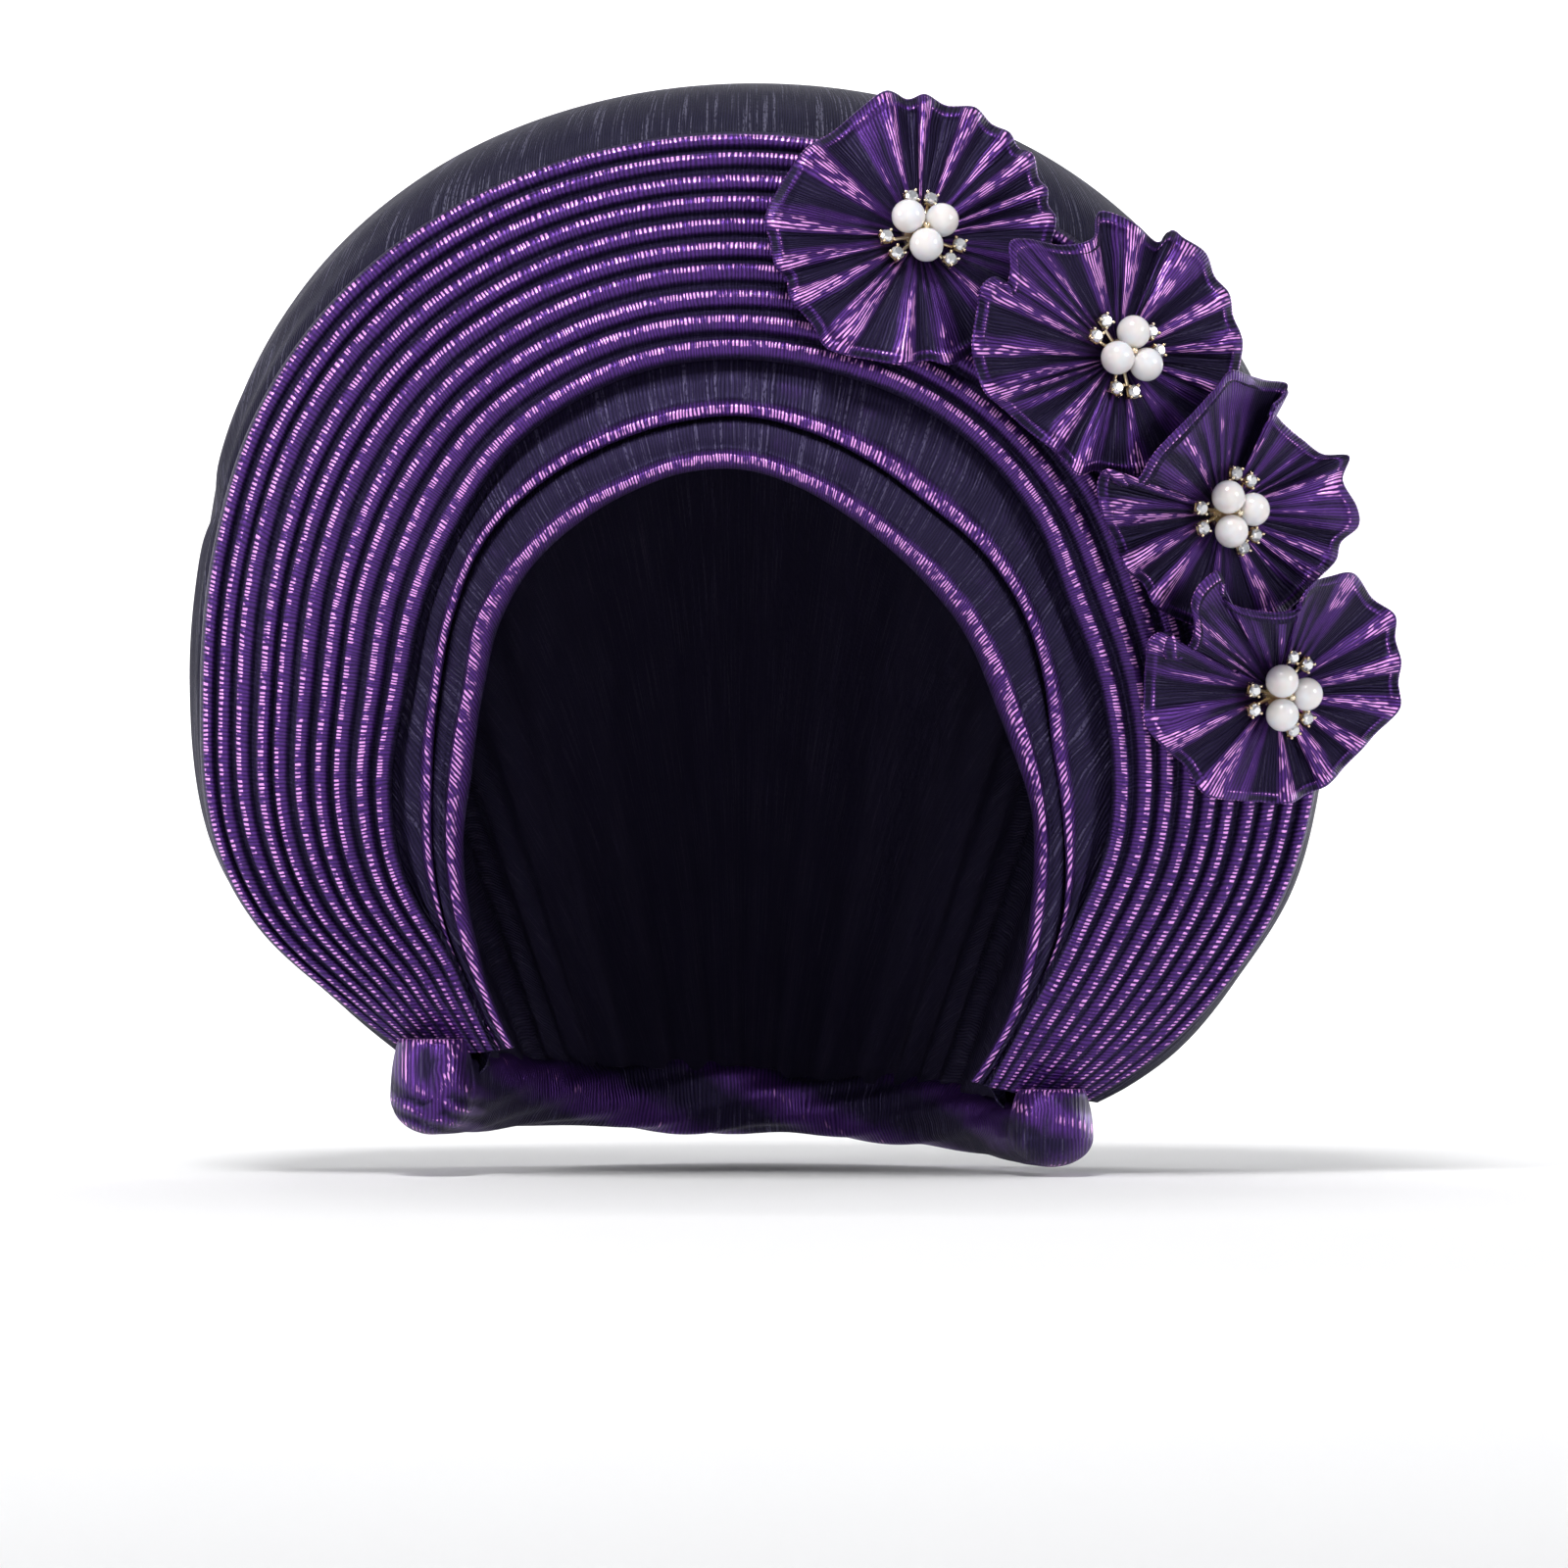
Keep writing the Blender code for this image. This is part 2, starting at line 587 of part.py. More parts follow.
def main():
    for old in list(bpy.data.objects):
        bpy.data.objects.remove(old)
    for name in ("gele_head_tie", "guides"):
        collection = bpy.data.collections.new(name)
        bpy.context.scene.collection.children.link(collection)

    purple = (0.075, 0.030, 0.170)
    cap_cloth = material("cap_cloth", (0.040, 0.030, 0.085), 0.5, 0.3)
    fold_cloth = material("fold_cloth", (0.060, 0.045, 0.120), 0.45, 0.35)
    fan_cloth = material("fan_cloth", purple, 0.35, 0.45)
    crown_cloth = material("crown_cloth", (0.050, 0.035, 0.120), 0.45, 0.4)
    band_cloth = material("band_cloth", (0.055, 0.030, 0.130), 0.45, 0.4)
    rosette_cloth = material("rosette_cloth", purple, 0.4, 0.4)
    gold = material("gold", (0.80, 0.60, 0.28), 0.25, 1.0)
    pearl = material("pearl", (0.90, 0.88, 0.85), 0.2, 0.0)
    stone = material("stone", (0.95, 0.95, 0.97), 0.03, 0.0, transmission=0.8)

    base_cap(cap_cloth)
    second_fold(fold_cloth)
    pleated_fan(fan_cloth)
    crown_wrap(crown_cloth)
    nape_band(band_cloth)
    for number in range(len(ROSETTES)):
        rosette(number, rosette_cloth)
        brooch_frame(number, gold)
        pearls(number, pearl)
        stones(number, stone)


main()
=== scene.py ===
"""The looks of a tied gele: crinkled metallic cloth, four ruffled rosettes and their brooches.

Metres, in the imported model's frame: +Z up, the face side towards -Y, the rosettes towards +X.
Angles run in the XZ plane about the arch centre, from straight up, towards +X. Along the arch
everything runs from the gather at -X over the top to the one at +X.
"""

from collections import namedtuple
from math import atan2, copysign, cos, degrees, exp, hypot, pi, radians, sin, sqrt

import bmesh
import bpy
from mathutils import Matrix, Vector


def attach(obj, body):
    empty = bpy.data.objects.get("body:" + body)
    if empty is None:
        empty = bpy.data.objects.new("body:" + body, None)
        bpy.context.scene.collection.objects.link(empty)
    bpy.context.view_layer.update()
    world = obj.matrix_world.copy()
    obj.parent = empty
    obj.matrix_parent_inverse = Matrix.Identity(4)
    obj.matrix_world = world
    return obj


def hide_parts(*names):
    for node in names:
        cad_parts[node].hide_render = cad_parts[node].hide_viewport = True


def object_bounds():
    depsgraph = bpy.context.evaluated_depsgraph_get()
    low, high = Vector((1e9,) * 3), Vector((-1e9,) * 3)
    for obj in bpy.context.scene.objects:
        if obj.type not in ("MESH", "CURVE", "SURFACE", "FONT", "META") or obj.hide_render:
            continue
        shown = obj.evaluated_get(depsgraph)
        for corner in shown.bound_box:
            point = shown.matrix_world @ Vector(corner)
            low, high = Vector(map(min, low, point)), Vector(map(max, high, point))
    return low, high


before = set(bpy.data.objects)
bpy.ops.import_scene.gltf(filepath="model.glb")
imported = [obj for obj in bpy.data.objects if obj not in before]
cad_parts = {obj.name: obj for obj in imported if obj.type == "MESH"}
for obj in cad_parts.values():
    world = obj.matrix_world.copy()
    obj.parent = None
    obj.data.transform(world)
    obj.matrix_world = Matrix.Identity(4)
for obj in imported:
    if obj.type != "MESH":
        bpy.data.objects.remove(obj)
cad_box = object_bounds()

# Sizes shared with the solids
CROWN_RADIUS = 0.1418
ARCH_DROP = 0.110
FACE_REACH = 0.090
WALL = 0.0012
GAP = 0.0003
EDGE_ROLL = 0.0022
PLEAT_RISE = 0.0030
PLEAT_BACK = 0.0016
HEAD_HALF_WIDTH = 0.0765
CAP_TOP = 0.0003
NAPE_REACH = 0.070
CROWN_REACH = 0.200
CAP_REACH = 0.115
BAND_HALF_HEIGHT_LEFT = 0.0094
BAND_HALF_HEIGHT_RIGHT = 0.0070
BAND_HALF_THICKNESS = 0.0065
BAND_DROP = 0.0012
BAND_RIGHT_DROP = 0.0036
BAND_END_OUT = 0.0075
BAND_END_SWELL = 0.0036
HEM_APART = 0.0020
ROSETTE_SEAT = 0.0118
ROSETTE_LIFT = 0.0020
PETAL_RISE = 0.0048
FRAME_THICKNESS = 0.0010
SEAT_HEIGHT = 0.0012
PEARL_RADIUS = 0.0038
PEARL_RING = 0.0046
STONE_WIDTH = 0.0032
STONE_RING = 0.0090
STONE_SPREAD = 15.0
PLEAT_PLACES = (0, 0.12, 0.245, 0.36, 0.475, 0.59, 0.69, 0.805, 0.91, 1)

# Looks alone
CLOTH = 0.0006  # one layer of the cloth as it shows
PETAL_EDGE = 0.0007  # radius of the folded edge round a rosette
RUFFLE_RISE = 0.0062  # how far a full rise of a rosette's rim stands forward
STATIONS = 400  # along the arch
HEM_INSIDE = 0.0030  # how far the hems run down into the nape roll
ROLL_LAP = 0.0042  # how far the roll's ends lap up over the gathers

Section = namedtuple("Section", "rim face edge roll fold fan_in fan_out crown edge_out rim_out")
SECTIONS = (
    Section(-136, -147, 0.700, 0.708, 0.718, 0.728, 0.816, 0.830, 0.06, -0.06),
    Section(-130, -139, 0.645, 0.658, 0.672, 0.685, 0.830, 0.846, 0.13, -0.02),
    Section(-125, -132, 0.598, 0.620, 0.642, 0.659, 0.846, 0.862, 0.20, 0.00),
    Section(-115, -119, 0.527, 0.554, 0.589, 0.645, 0.887, 0.900, 0.32, 0.04),
    Section(-105, -106, 0.462, 0.497, 0.541, 0.614, 0.900, 0.922, 0.43, 0.09),
    Section(-90, -90, 0.424, 0.452, 0.505, 0.567, 0.884, 0.922, 0.53, 0.15),
    Section(-75, -75, 0.410, 0.443, 0.494, 0.554, 0.889, 0.932, 0.65, 0.25),
    Section(-60, -60, 0.394, 0.417, 0.489, 0.549, 0.903, 0.965, 0.78, 0.38),
    Section(-45, -45, 0.375, 0.397, 0.475, 0.554, 0.906, 0.987, 0.88, 0.50),
    Section(-30, -30, 0.362, 0.379, 0.460, 0.551, 0.898, 0.998, 0.95, 0.58),
    Section(-15, -15, 0.356, 0.375, 0.452, 0.548, 0.889, 1.000, 0.99, 0.63),
    Section(0, 0, 0.348, 0.368, 0.448, 0.543, 0.886, 1.000, 1.00, 0.64),
    Section(15, 15, 0.332, 0.352, 0.437, 0.541, 0.886, 1.002, 0.99, 0.63),
    Section(30, 30, 0.321, 0.343, 0.432, 0.548, 0.889, 1.006, 0.95, 0.58),
    Section(45, 45, 0.322, 0.344, 0.435, 0.554, 0.897, 1.000, 0.88, 0.50),
    Section(60, 60, 0.337, 0.363, 0.457, 0.557, 0.910, 0.987, 0.78, 0.38),
    Section(75, 75, 0.365, 0.392, 0.479, 0.560, 0.925, 0.971, 0.65, 0.25),
    Section(90, 90, 0.397, 0.429, 0.502, 0.595, 0.932, 0.963, 0.53, 0.15),
    Section(100, 101, 0.438, 0.471, 0.525, 0.624, 0.940, 0.967, 0.45, 0.10),
    Section(110, 113, 0.508, 0.529, 0.575, 0.654, 0.940, 0.970, 0.36, 0.05),
    Section(120, 127, 0.586, 0.605, 0.646, 0.675, 0.925, 0.949, 0.24, 0.01),
    Section(130, 140, 0.680, 0.692, 0.704, 0.716, 0.905, 0.929, 0.13, -0.03),
    Section(139.4, 150, 0.742, 0.750, 0.760, 0.770, 0.880, 0.896, 0.06, -0.06),
)

Rosette = namedtuple("Rosette", "angle out radius turn")
ROSETTES = (
    Rosette(21.1, 0.776, 0.0335, 6),
    Rosette(48.3, 0.810, 0.0315, 70),
    Rosette(69.5, 0.830, 0.0310, 20),
    Rosette(90.2, 0.870, 0.0300, 22),
)

# Each rosette's rim, clockwise from its top: the angle, the share of the radius and the rise there.
# Where the angle runs back, the rim doubles over itself.
RIMS = (
    (
        (-12, 1.03, 0.4), (-4, 0.96, -0.3), (3, 0.99, 0.3), (12, 0.94, -0.4), (23, 0.98, 0.5),
        (32, 0.94, -0.3), (40, 0.96, 0.2), (47, 0.93, -0.2), (53, 0.97, 0.4), (62, 0.92, -0.3),
        (68, 0.94, 0.3), (74, 0.91, -0.2), (81, 0.94, 0.4), (92, 0.89, -0.4), (104, 0.88, 0.2),
        (118, 0.86, -0.4), (134, 0.86, 0.3), (150, 0.84, -0.4), (166, 0.88, 0.3), (176, 0.83, -0.3),
        (187, 0.87, 0.2), (200, 0.89, -0.2), (218, 0.98, 0.5), (230, 0.93, -0.3), (243, 0.96, 0.4),
        (251, 0.93, -0.2), (258, 0.98, 0.3), (268, 0.99, -0.1), (277, 1.03, 0.3), (292, 0.98, -0.2),
        (308, 0.96, 0.3), (322, 0.92, -0.3), (336, 0.96, 0.2),
    ),
    (
        (-46, 1.11, 0.9), (-40, 1.05, 0.8), (-28, 0.87, 0.4), (-13, 0.85, 0.5), (-8, 1.04, -0.3),
        (0, 1.01, 0.3), (8, 0.95, 0.6), (19, 0.88, -0.5), (23, 1.0, -0.2), (29, 0.98, 0.6),
        (40, 0.99, 0.3), (50, 0.92, -0.2), (60, 0.93, 0.4), (70, 0.89, -0.1), (82, 0.91, 0.3),
        (95, 0.88, -0.4), (110, 0.88, 0.2), (125, 0.87, -0.4), (140, 0.87, 0.2), (155, 0.86, -0.4),
        (170, 0.86, 0.2), (182, 0.84, -0.3), (192, 0.84, 0.2), (200, 0.91, 0.4), (208, 0.85, -0.3),
        (216, 0.84, 0.4), (230, 0.86, -0.3), (245, 0.94, 0.2), (253, 1.02, 0.4), (263, 1.05, -0.2),
        (272, 1.07, 0.3), (285, 1.07, 0.0), (294, 1.10, 0.7), (300, 1.05, 0.6), (297, 0.94, 0.2),
        (306, 0.98, 0.7),
    ),
    (
        (2, 1.01, 1.0), (10, 1.0, 0.6), (18, 1.01, -0.1), (27, 1.06, -0.4), (28, 0.94, 0.4),
        (26, 0.83, 0.9), (35, 0.78, 0.5), (49, 0.80, 0.0), (60, 0.87, -0.4), (66, 1.05, -0.5),
        (75, 0.93, 0.5), (87, 1.01, 0.4), (95, 1.03, 0.0), (103, 0.92, -0.5), (112, 0.92, 0.0),
        (125, 0.86, 0.3), (140, 0.86, -0.4), (155, 0.86, 0.2), (170, 0.85, -0.4), (185, 0.86, 0.2),
        (200, 0.85, -0.4), (216, 0.86, 0.6), (228, 0.80, -0.3), (240, 0.85, 0.5), (254, 0.84, -0.3),
        (267, 0.91, 0.4), (280, 0.96, 0.1), (287, 0.93, 0.7), (283, 0.80, 0.3), (288, 0.68, 0.2),
        (308, 0.66, 0.7), (338, 0.72, 1.0), (354, 0.87, 1.1),
    ),
    (
        (10, 0.62, 0.7), (13, 0.72, 1.0), (17, 0.86, 0.8), (24, 0.96, 0.4), (33, 1.08, 0.3),
        (46, 1.04, -0.3), (57, 1.10, 0.1), (66, 1.02, -0.3), (76, 1.0, 0.4), (85, 0.96, -0.2),
        (97, 0.97, 0.3), (111, 0.84, -0.3), (122, 0.79, 0.3), (135, 0.77, -0.2), (150, 0.80, 0.4),
        (162, 0.80, -0.4), (173, 0.84, 0.3), (187, 0.83, -0.3), (201, 0.87, 0.2), (216, 0.95, 0.4),
        (232, 0.90, -0.4), (246, 0.98, 0.3), (257, 1.05, 0.1), (270, 1.03, -0.3), (282, 1.05, 0.3),
        (291, 1.08, 0.8), (296, 1.0, 0.6), (287, 0.90, 0.2), (296, 0.78, 0.0), (306, 0.82, 0.7),
        (314, 0.96, 0.9), (322, 1.02, 1.1), (331, 1.03, 0.9), (328, 0.92, 0.5), (330, 0.76, 0.6),
        (348, 0.61, 0.6),
    ),
)

CENTRE = Vector((0, 0, -ARCH_DROP))


# Finishes


class Socket:
    """An output of a finish. Sums written with it add their Math nodes."""

    def __init__(self, finish, link):
        self.finish = finish
        self.link = link

    def _math(self, operation, first, second):
        return self.finish.node("ShaderNodeMath", {"operation": operation}, {0: first, 1: second})

    def __add__(self, other):
        return self._math("ADD", self, other)

    def __radd__(self, other):
        return self._math("ADD", other, self)

    def __sub__(self, other):
        return self._math("SUBTRACT", self, other)

    def __rsub__(self, other):
        return self._math("SUBTRACT", other, self)

    def __mul__(self, other):
        return self._math("MULTIPLY", self, other)

    def __rmul__(self, other):
        return self._math("MULTIPLY", other, self)

    def __pow__(self, other):
        return self._math("POWER", self, other)


class Finish:
    """A material in the making, on the Principled shader."""

    def __init__(self, name):
        self.material = bpy.data.materials.new(name)
        self.material.use_nodes = True
        self.tree = self.material.node_tree
        self.shader = self.tree.nodes["Principled BSDF"]

    def node(self, kind, settings, inputs, output=0):
        made = self.tree.nodes.new(kind)
        for key, value in settings.items():
            setattr(made, key, value)
        for key, value in inputs.items():
            self.feed(made.inputs[key], value)
        return Socket(self, made.outputs[output])

    def feed(self, socket, value):
        if isinstance(value, Socket):
            self.tree.links.new(value.link, socket)
        else:
            socket.default_value = value

    def set(self, **sockets):
        for name, value in sockets.items():
            self.feed(self.shader.inputs[name.replace("_", " ")], value)
        return self.material

    def noise(self, x, y, z=0.0, detail=2.0, roughness=0.5):
        """Noise whose features are about one unit across."""
        place = self.node("ShaderNodeCombineXYZ", {}, {0: x, 1: y, 2: z})
        return self.node(
            "ShaderNodeTexNoise", {}, {"Vector": place, "Scale": 1.0, "Detail": detail, "Roughness": roughness}
        )

    def step(self, value, low, high):
        """0 below low, 1 above high and smooth between them."""
        return self.node(
            "ShaderNodeMapRange", {"interpolation_type": "SMOOTHSTEP"}, {0: value, 1: low, 2: high}
        )

    def sine(self, value):
        return self.node("ShaderNodeMath", {"operation": "SINE"}, {0: value})

    def mix(self, share, a, b):
        a, b = ((*c, 1) if isinstance(c, tuple) else c for c in (a, b))
        return self.node("ShaderNodeMix", {"data_type": "RGBA"}, {0: share, 6: a, 7: b}, output=2)

    def bump(self, height, distance, strength=1.0):
        return self.node("ShaderNodeBump", {}, {"Height": height, "Distance": distance, "Strength": strength})


def lame(name, flat, body, painted_highlight, pitch=0.0006, pale=0.5, patchy=0.0, shiny_from=0.78, metal=0.8, roughness=0.42):
    """Crinkled metallic cloth. Its fine ribs run along the cut's second axis. Its colour holds painted light: a dark
    flat colour in the hollows, the lit body colour on the crests, and dashes of painted highlight near their tops.
    """
    f = Finish(name)
    cut = f.node("ShaderNodeUVMap", {"uv_map": "cut"}, {})
    across = f.node("ShaderNodeSeparateXYZ", {}, {0: cut}, output=0)
    along = f.node("ShaderNodeSeparateXYZ", {}, {0: cut}, output=1)
    crest = f.node("ShaderNodeAttribute", {"attribute_name": "crest"}, {}, output=2)
    wander = f.noise(across * 170, along * 60, detail=1.0)
    ribs = 0.5 + 0.5 * f.sine(across * (2 * pi / pitch) + 17 * wander)
    uneven = f.noise(across * (0.62 / pitch), along * 260, 5.0, detail=1.0)
    speckle = f.noise(across * (1.6 / pitch), along * 900, 3.0, detail=1.0)
    strands = f.noise(across * 1900, along * 38, 11.0, detail=1.0)
    patches = f.noise(across * 130, along * 110, 7.0)
    # Painted light and shade: the lit body colour on the crests, the dark flat colour in the hollows between them.
    lit = f.step(crest + 0.22 * (uneven - 0.5) + 0.5 * (patches - 0.5), 0.12, 0.72)
    base = f.mix(lit, flat, body)
    # Painted shade: darker in the troughs between the fine ribs.
    base = f.mix((1 - ribs) * (0.5 * speckle + 0.45), base, tuple(0.35 * c for c in flat))
    thread = f.step(strands, 0.57, 0.65) * f.step(speckle, 0.34, 0.54) * (pale * (1 - 0.85 * lit))
    base = f.mix(thread, base, tuple(2.2 * c + 0.07 for c in flat))
    # Painted highlights: pale dashes across the ribs near the tops of the crests, less metallic and a little smoother
    # there.
    glint = f.step(crest + 0.45 * (uneven - 0.5) + patchy * (patches - 0.5), shiny_from, shiny_from + 0.15)
    highlight_flecks = f.step(ribs + 0.9 * (uneven - 0.5), 0.46, 0.72) * f.step(uneven + 0.5 * wander, 0.66, 0.78) * glint
    base = f.mix(highlight_flecks, base, painted_highlight)
    return f.set(
        Base_Color=base,
        Metallic=metal - 0.6 * metal * highlight_flecks,
        Roughness=roughness + 0.14 * (1 - lit) - 0.12 * highlight_flecks,
        Specular_IOR_Level=min(0.5, metal),
        Normal=f.bump(ribs + speckle + 0.6 * uneven, 0.0001),
    )


def gold_finish():
    f = Finish("pale_gold")
    place = f.node("ShaderNodeTexCoord", {}, {}, output=3)
    grain = f.node("ShaderNodeTexNoise", {}, {"Vector": place, "Scale": 900.0, "Detail": 3.0})
    wear = f.node("ShaderNodeTexNoise", {}, {"Vector": place, "Scale": 120.0, "Detail": 2.0})
    return f.set(
        Base_Color=f.mix(f.step(wear, 0.4, 0.65), (0.90, 0.72, 0.46), (0.95, 0.84, 0.64)),
        Metallic=1.0,
        Roughness=0.16 + 0.16 * grain,
        Normal=f.bump(grain, 0.00003),
    )


def pearl_finish():
    f = Finish("pearl")
    place = f.node("ShaderNodeTexCoord", {}, {}, output=3)
    cloud = f.node("ShaderNodeTexNoise", {}, {"Vector": place, "Scale": 160.0, "Detail": 3.0})
    tint = f.node("ShaderNodeTexNoise", {}, {"Vector": place, "Scale": 420.0, "Detail": 2.0})
    base = f.mix(f.step(cloud, 0.35, 0.65), (0.80, 0.76, 0.74), (0.77, 0.78, 0.82))
    return f.set(
        Base_Color=f.mix(f.step(tint, 0.5, 0.7) * 0.35, base, (0.84, 0.73, 0.76)),
        Roughness=0.20 + 0.10 * cloud,
        Normal=f.bump(tint, 0.00002),
        Coat_Weight=0.7,
        Coat_Roughness=0.06,
        Subsurface_Weight=0.15,
        Subsurface_Scale=0.002,
    )


def stone_finish():
    """A stone with a silvered back. Its facets each have their own grey, a painted sparkle that shows from any side.
    """
    f = Finish("clear_stone")
    painted_sparkle = f.node("ShaderNodeAttribute", {"attribute_name": "painted_sparkle"}, {}, output=2)
    place = f.node("ShaderNodeTexCoord", {}, {}, output=3)
    cloud = f.node("ShaderNodeTexNoise", {}, {"Vector": place, "Scale": 1500.0, "Detail": 1.0})
    # Painted sparkle: the facets in greys from mid grey to white, standing in for reflections.
    base = f.mix(painted_sparkle, (0.42, 0.43, 0.46), (1.0, 1.0, 1.0))
    return f.set(
        Base_Color=f.mix(f.step(cloud, 0.45, 0.6) * 0.4, base, (0.75, 0.78, 0.85)),
        Metallic=0.60,
        Roughness=0.10 + 0.06 * cloud,
        Coat_Weight=1.0,
        Coat_Roughness=0.02,
    )


# Shapes that the cloth follows, as in the solids


def blend(a, b, share):
    return a + (b - a) * share


def smooth_step(value):
    held = min(max(value, 0.0), 1.0)
    return held * held * (3 - 2 * held)


def section_at(share):
    """The arch's section at a share of the way along it, on a smooth curve through the table."""
    place = min(max(share, 0.0), 1.0) * (len(SECTIONS) - 1)
    first = min(int(place), len(SECTIONS) - 2)
    t = place - first
    rows = [SECTIONS[min(max(first + k, 0), len(SECTIONS) - 1)] for k in (-1, 0, 1, 2)]
    return Section(
        *(
            b + 0.5 * t * (c - a + t * (2 * a - 5 * b + 4 * c - d + t * (3 * (b - c) + d - a)))
            for a, b, c, d in zip(*rows)
        )
    )


def share_at(angle):
    """How far along the arch its rim stands at this angle."""
    low, high = 0.0, 1.0
    for _ in range(24):
        middle = (low + high) / 2
        if section_at(middle).rim < angle:
            low = middle
        else:
            high = middle
    return low


def front_depth(section, out):
    """The pleats' foot at this distance from the arch centre, leaning back towards the rim."""
    along = max(0.0, (out - section.edge) / (section.fan_out - section.edge))
    return -FACE_REACH * blend(section.edge_out, section.rim_out, min(along, 1.25) ** 1.6)


def section_angle(section, out):
    """A section skews near the gathers, so its angle changes from its inner to its outer end."""
    along = (out - section.edge) / (section.crown - section.edge)
    return radians(blend(section.face, section.rim, along))


def on_front(section, out, lift=0.0):
    """The point at this share of CROWN_RADIUS, lifted towards the viewer from the pleats' foot."""
    angle = section_angle(section, out)
    reach = out * CROWN_RADIUS
    return Vector((reach * sin(angle), front_depth(section, out) - lift, CENTRE.z + reach * cos(angle)))


def fullness(section):
    """1 at the top of the arch, 0 at its gathers."""
    low = cos(radians(SECTIONS[0].rim) / 2)
    return max(0.0, (cos(radians(section.rim) / 2) - low) / (1 - low))


def fold_rise(share):
    """Folds flatten where the cloth is gathered at the jaw."""
    from_end = min(share, 1 - share)
    return blend(0.12, 1.0, smooth_step(from_end / 0.16))


def hem_point(share, outward, height):
    """A point on the nape's curve behind the neck, from one gather to the other."""
    turn = radians(blend(-84, 84, share))
    left, right = (on_front(section, section.fold) for section in (SECTIONS[0], SECTIONS[-1]))
    half_width = (right.x - left.x) / 2 + CROWN_RADIUS * 0.06
    half_drop = (left.z - right.z) / 2
    middle_z = (left.z + right.z) / 2 - BAND_DROP
    return Vector(
        (
            (left.x + right.x) / 2 + (half_width + outward) * sin(turn),
            (NAPE_REACH + outward) * cos(turn) + 0.004,
            middle_z - half_drop * sin(turn) + height,
        )
    )


def sweep_to_nape(ring, hem, reach, turn):
    """A point on the quarter oval that leaves the ring straight back and ends on the hem."""
    back = Vector((0, reach, 0))
    return ring + back * sin(turn) + (hem - ring - back) * (1 - cos(turn))


def polar(angle, reach, depth):
    return Vector((reach * sin(angle), depth, CENTRE.z + reach * cos(angle)))


def fold_openness(section):
    """1 where the second fold is wide, falling to 0 where it narrows into a gather."""
    return smooth_step((section.fan_in - section.fold) / 0.06)


def lip_lift(section):
    """The second fold's inner lip, which sinks under the pleats where the fold narrows."""
    return blend(-PLEAT_BACK - 1.5 * GAP, -0.0004, fold_openness(section))


# Making a sheet of cloth


def knot(place, crest):
    """A place on the cloth and how much of a ridge it is, from 0 to 1, which sets its painted light and painted
    highlight.
    """
    return Vector((*place, crest))


def smooth_through(knots, steps):
    """The knots of a smooth curve through these, with steps of them to each span."""
    found = []
    last = len(knots) - 1
    for first in range(last):
        a, b, c, d = (knots[min(max(first + k, 0), last)] for k in (-1, 0, 1, 2))
        for step in range(steps):
            t = step / steps
            found.append(b + 0.5 * t * (c - a + t * (2 * a - 5 * b + 4 * c - d + t * (3 * (b - c) + d - a))))
    found.append(knots[last])
    return found


def pushed(columns, height):
    """The columns with each knot moved along the sheet's normal by height(i, j)."""
    last_i, last_j = len(columns) - 1, len(columns[0]) - 1
    moved = []
    for i, column in enumerate(columns):
        before, after = columns[max(i - 1, 0)], columns[min(i + 1, last_i)]
        row = []
        for j, point in enumerate(column):
            along = after[j].xyz - before[j].xyz
            across = column[min(j + 1, last_j)].xyz - column[max(j - 1, 0)].xyz
            normal = along.cross(across).normalized()
            row.append(point + Vector((*(normal * height(i, j)), 0)))
        moved.append(row)
    return moved


def distances(points):
    """How far along the line through these points each one lies."""
    found = [0.0]
    for a, b in zip(points, points[1:]):
        found.append(found[-1] + (b.xyz - a.xyz).length)
    return found


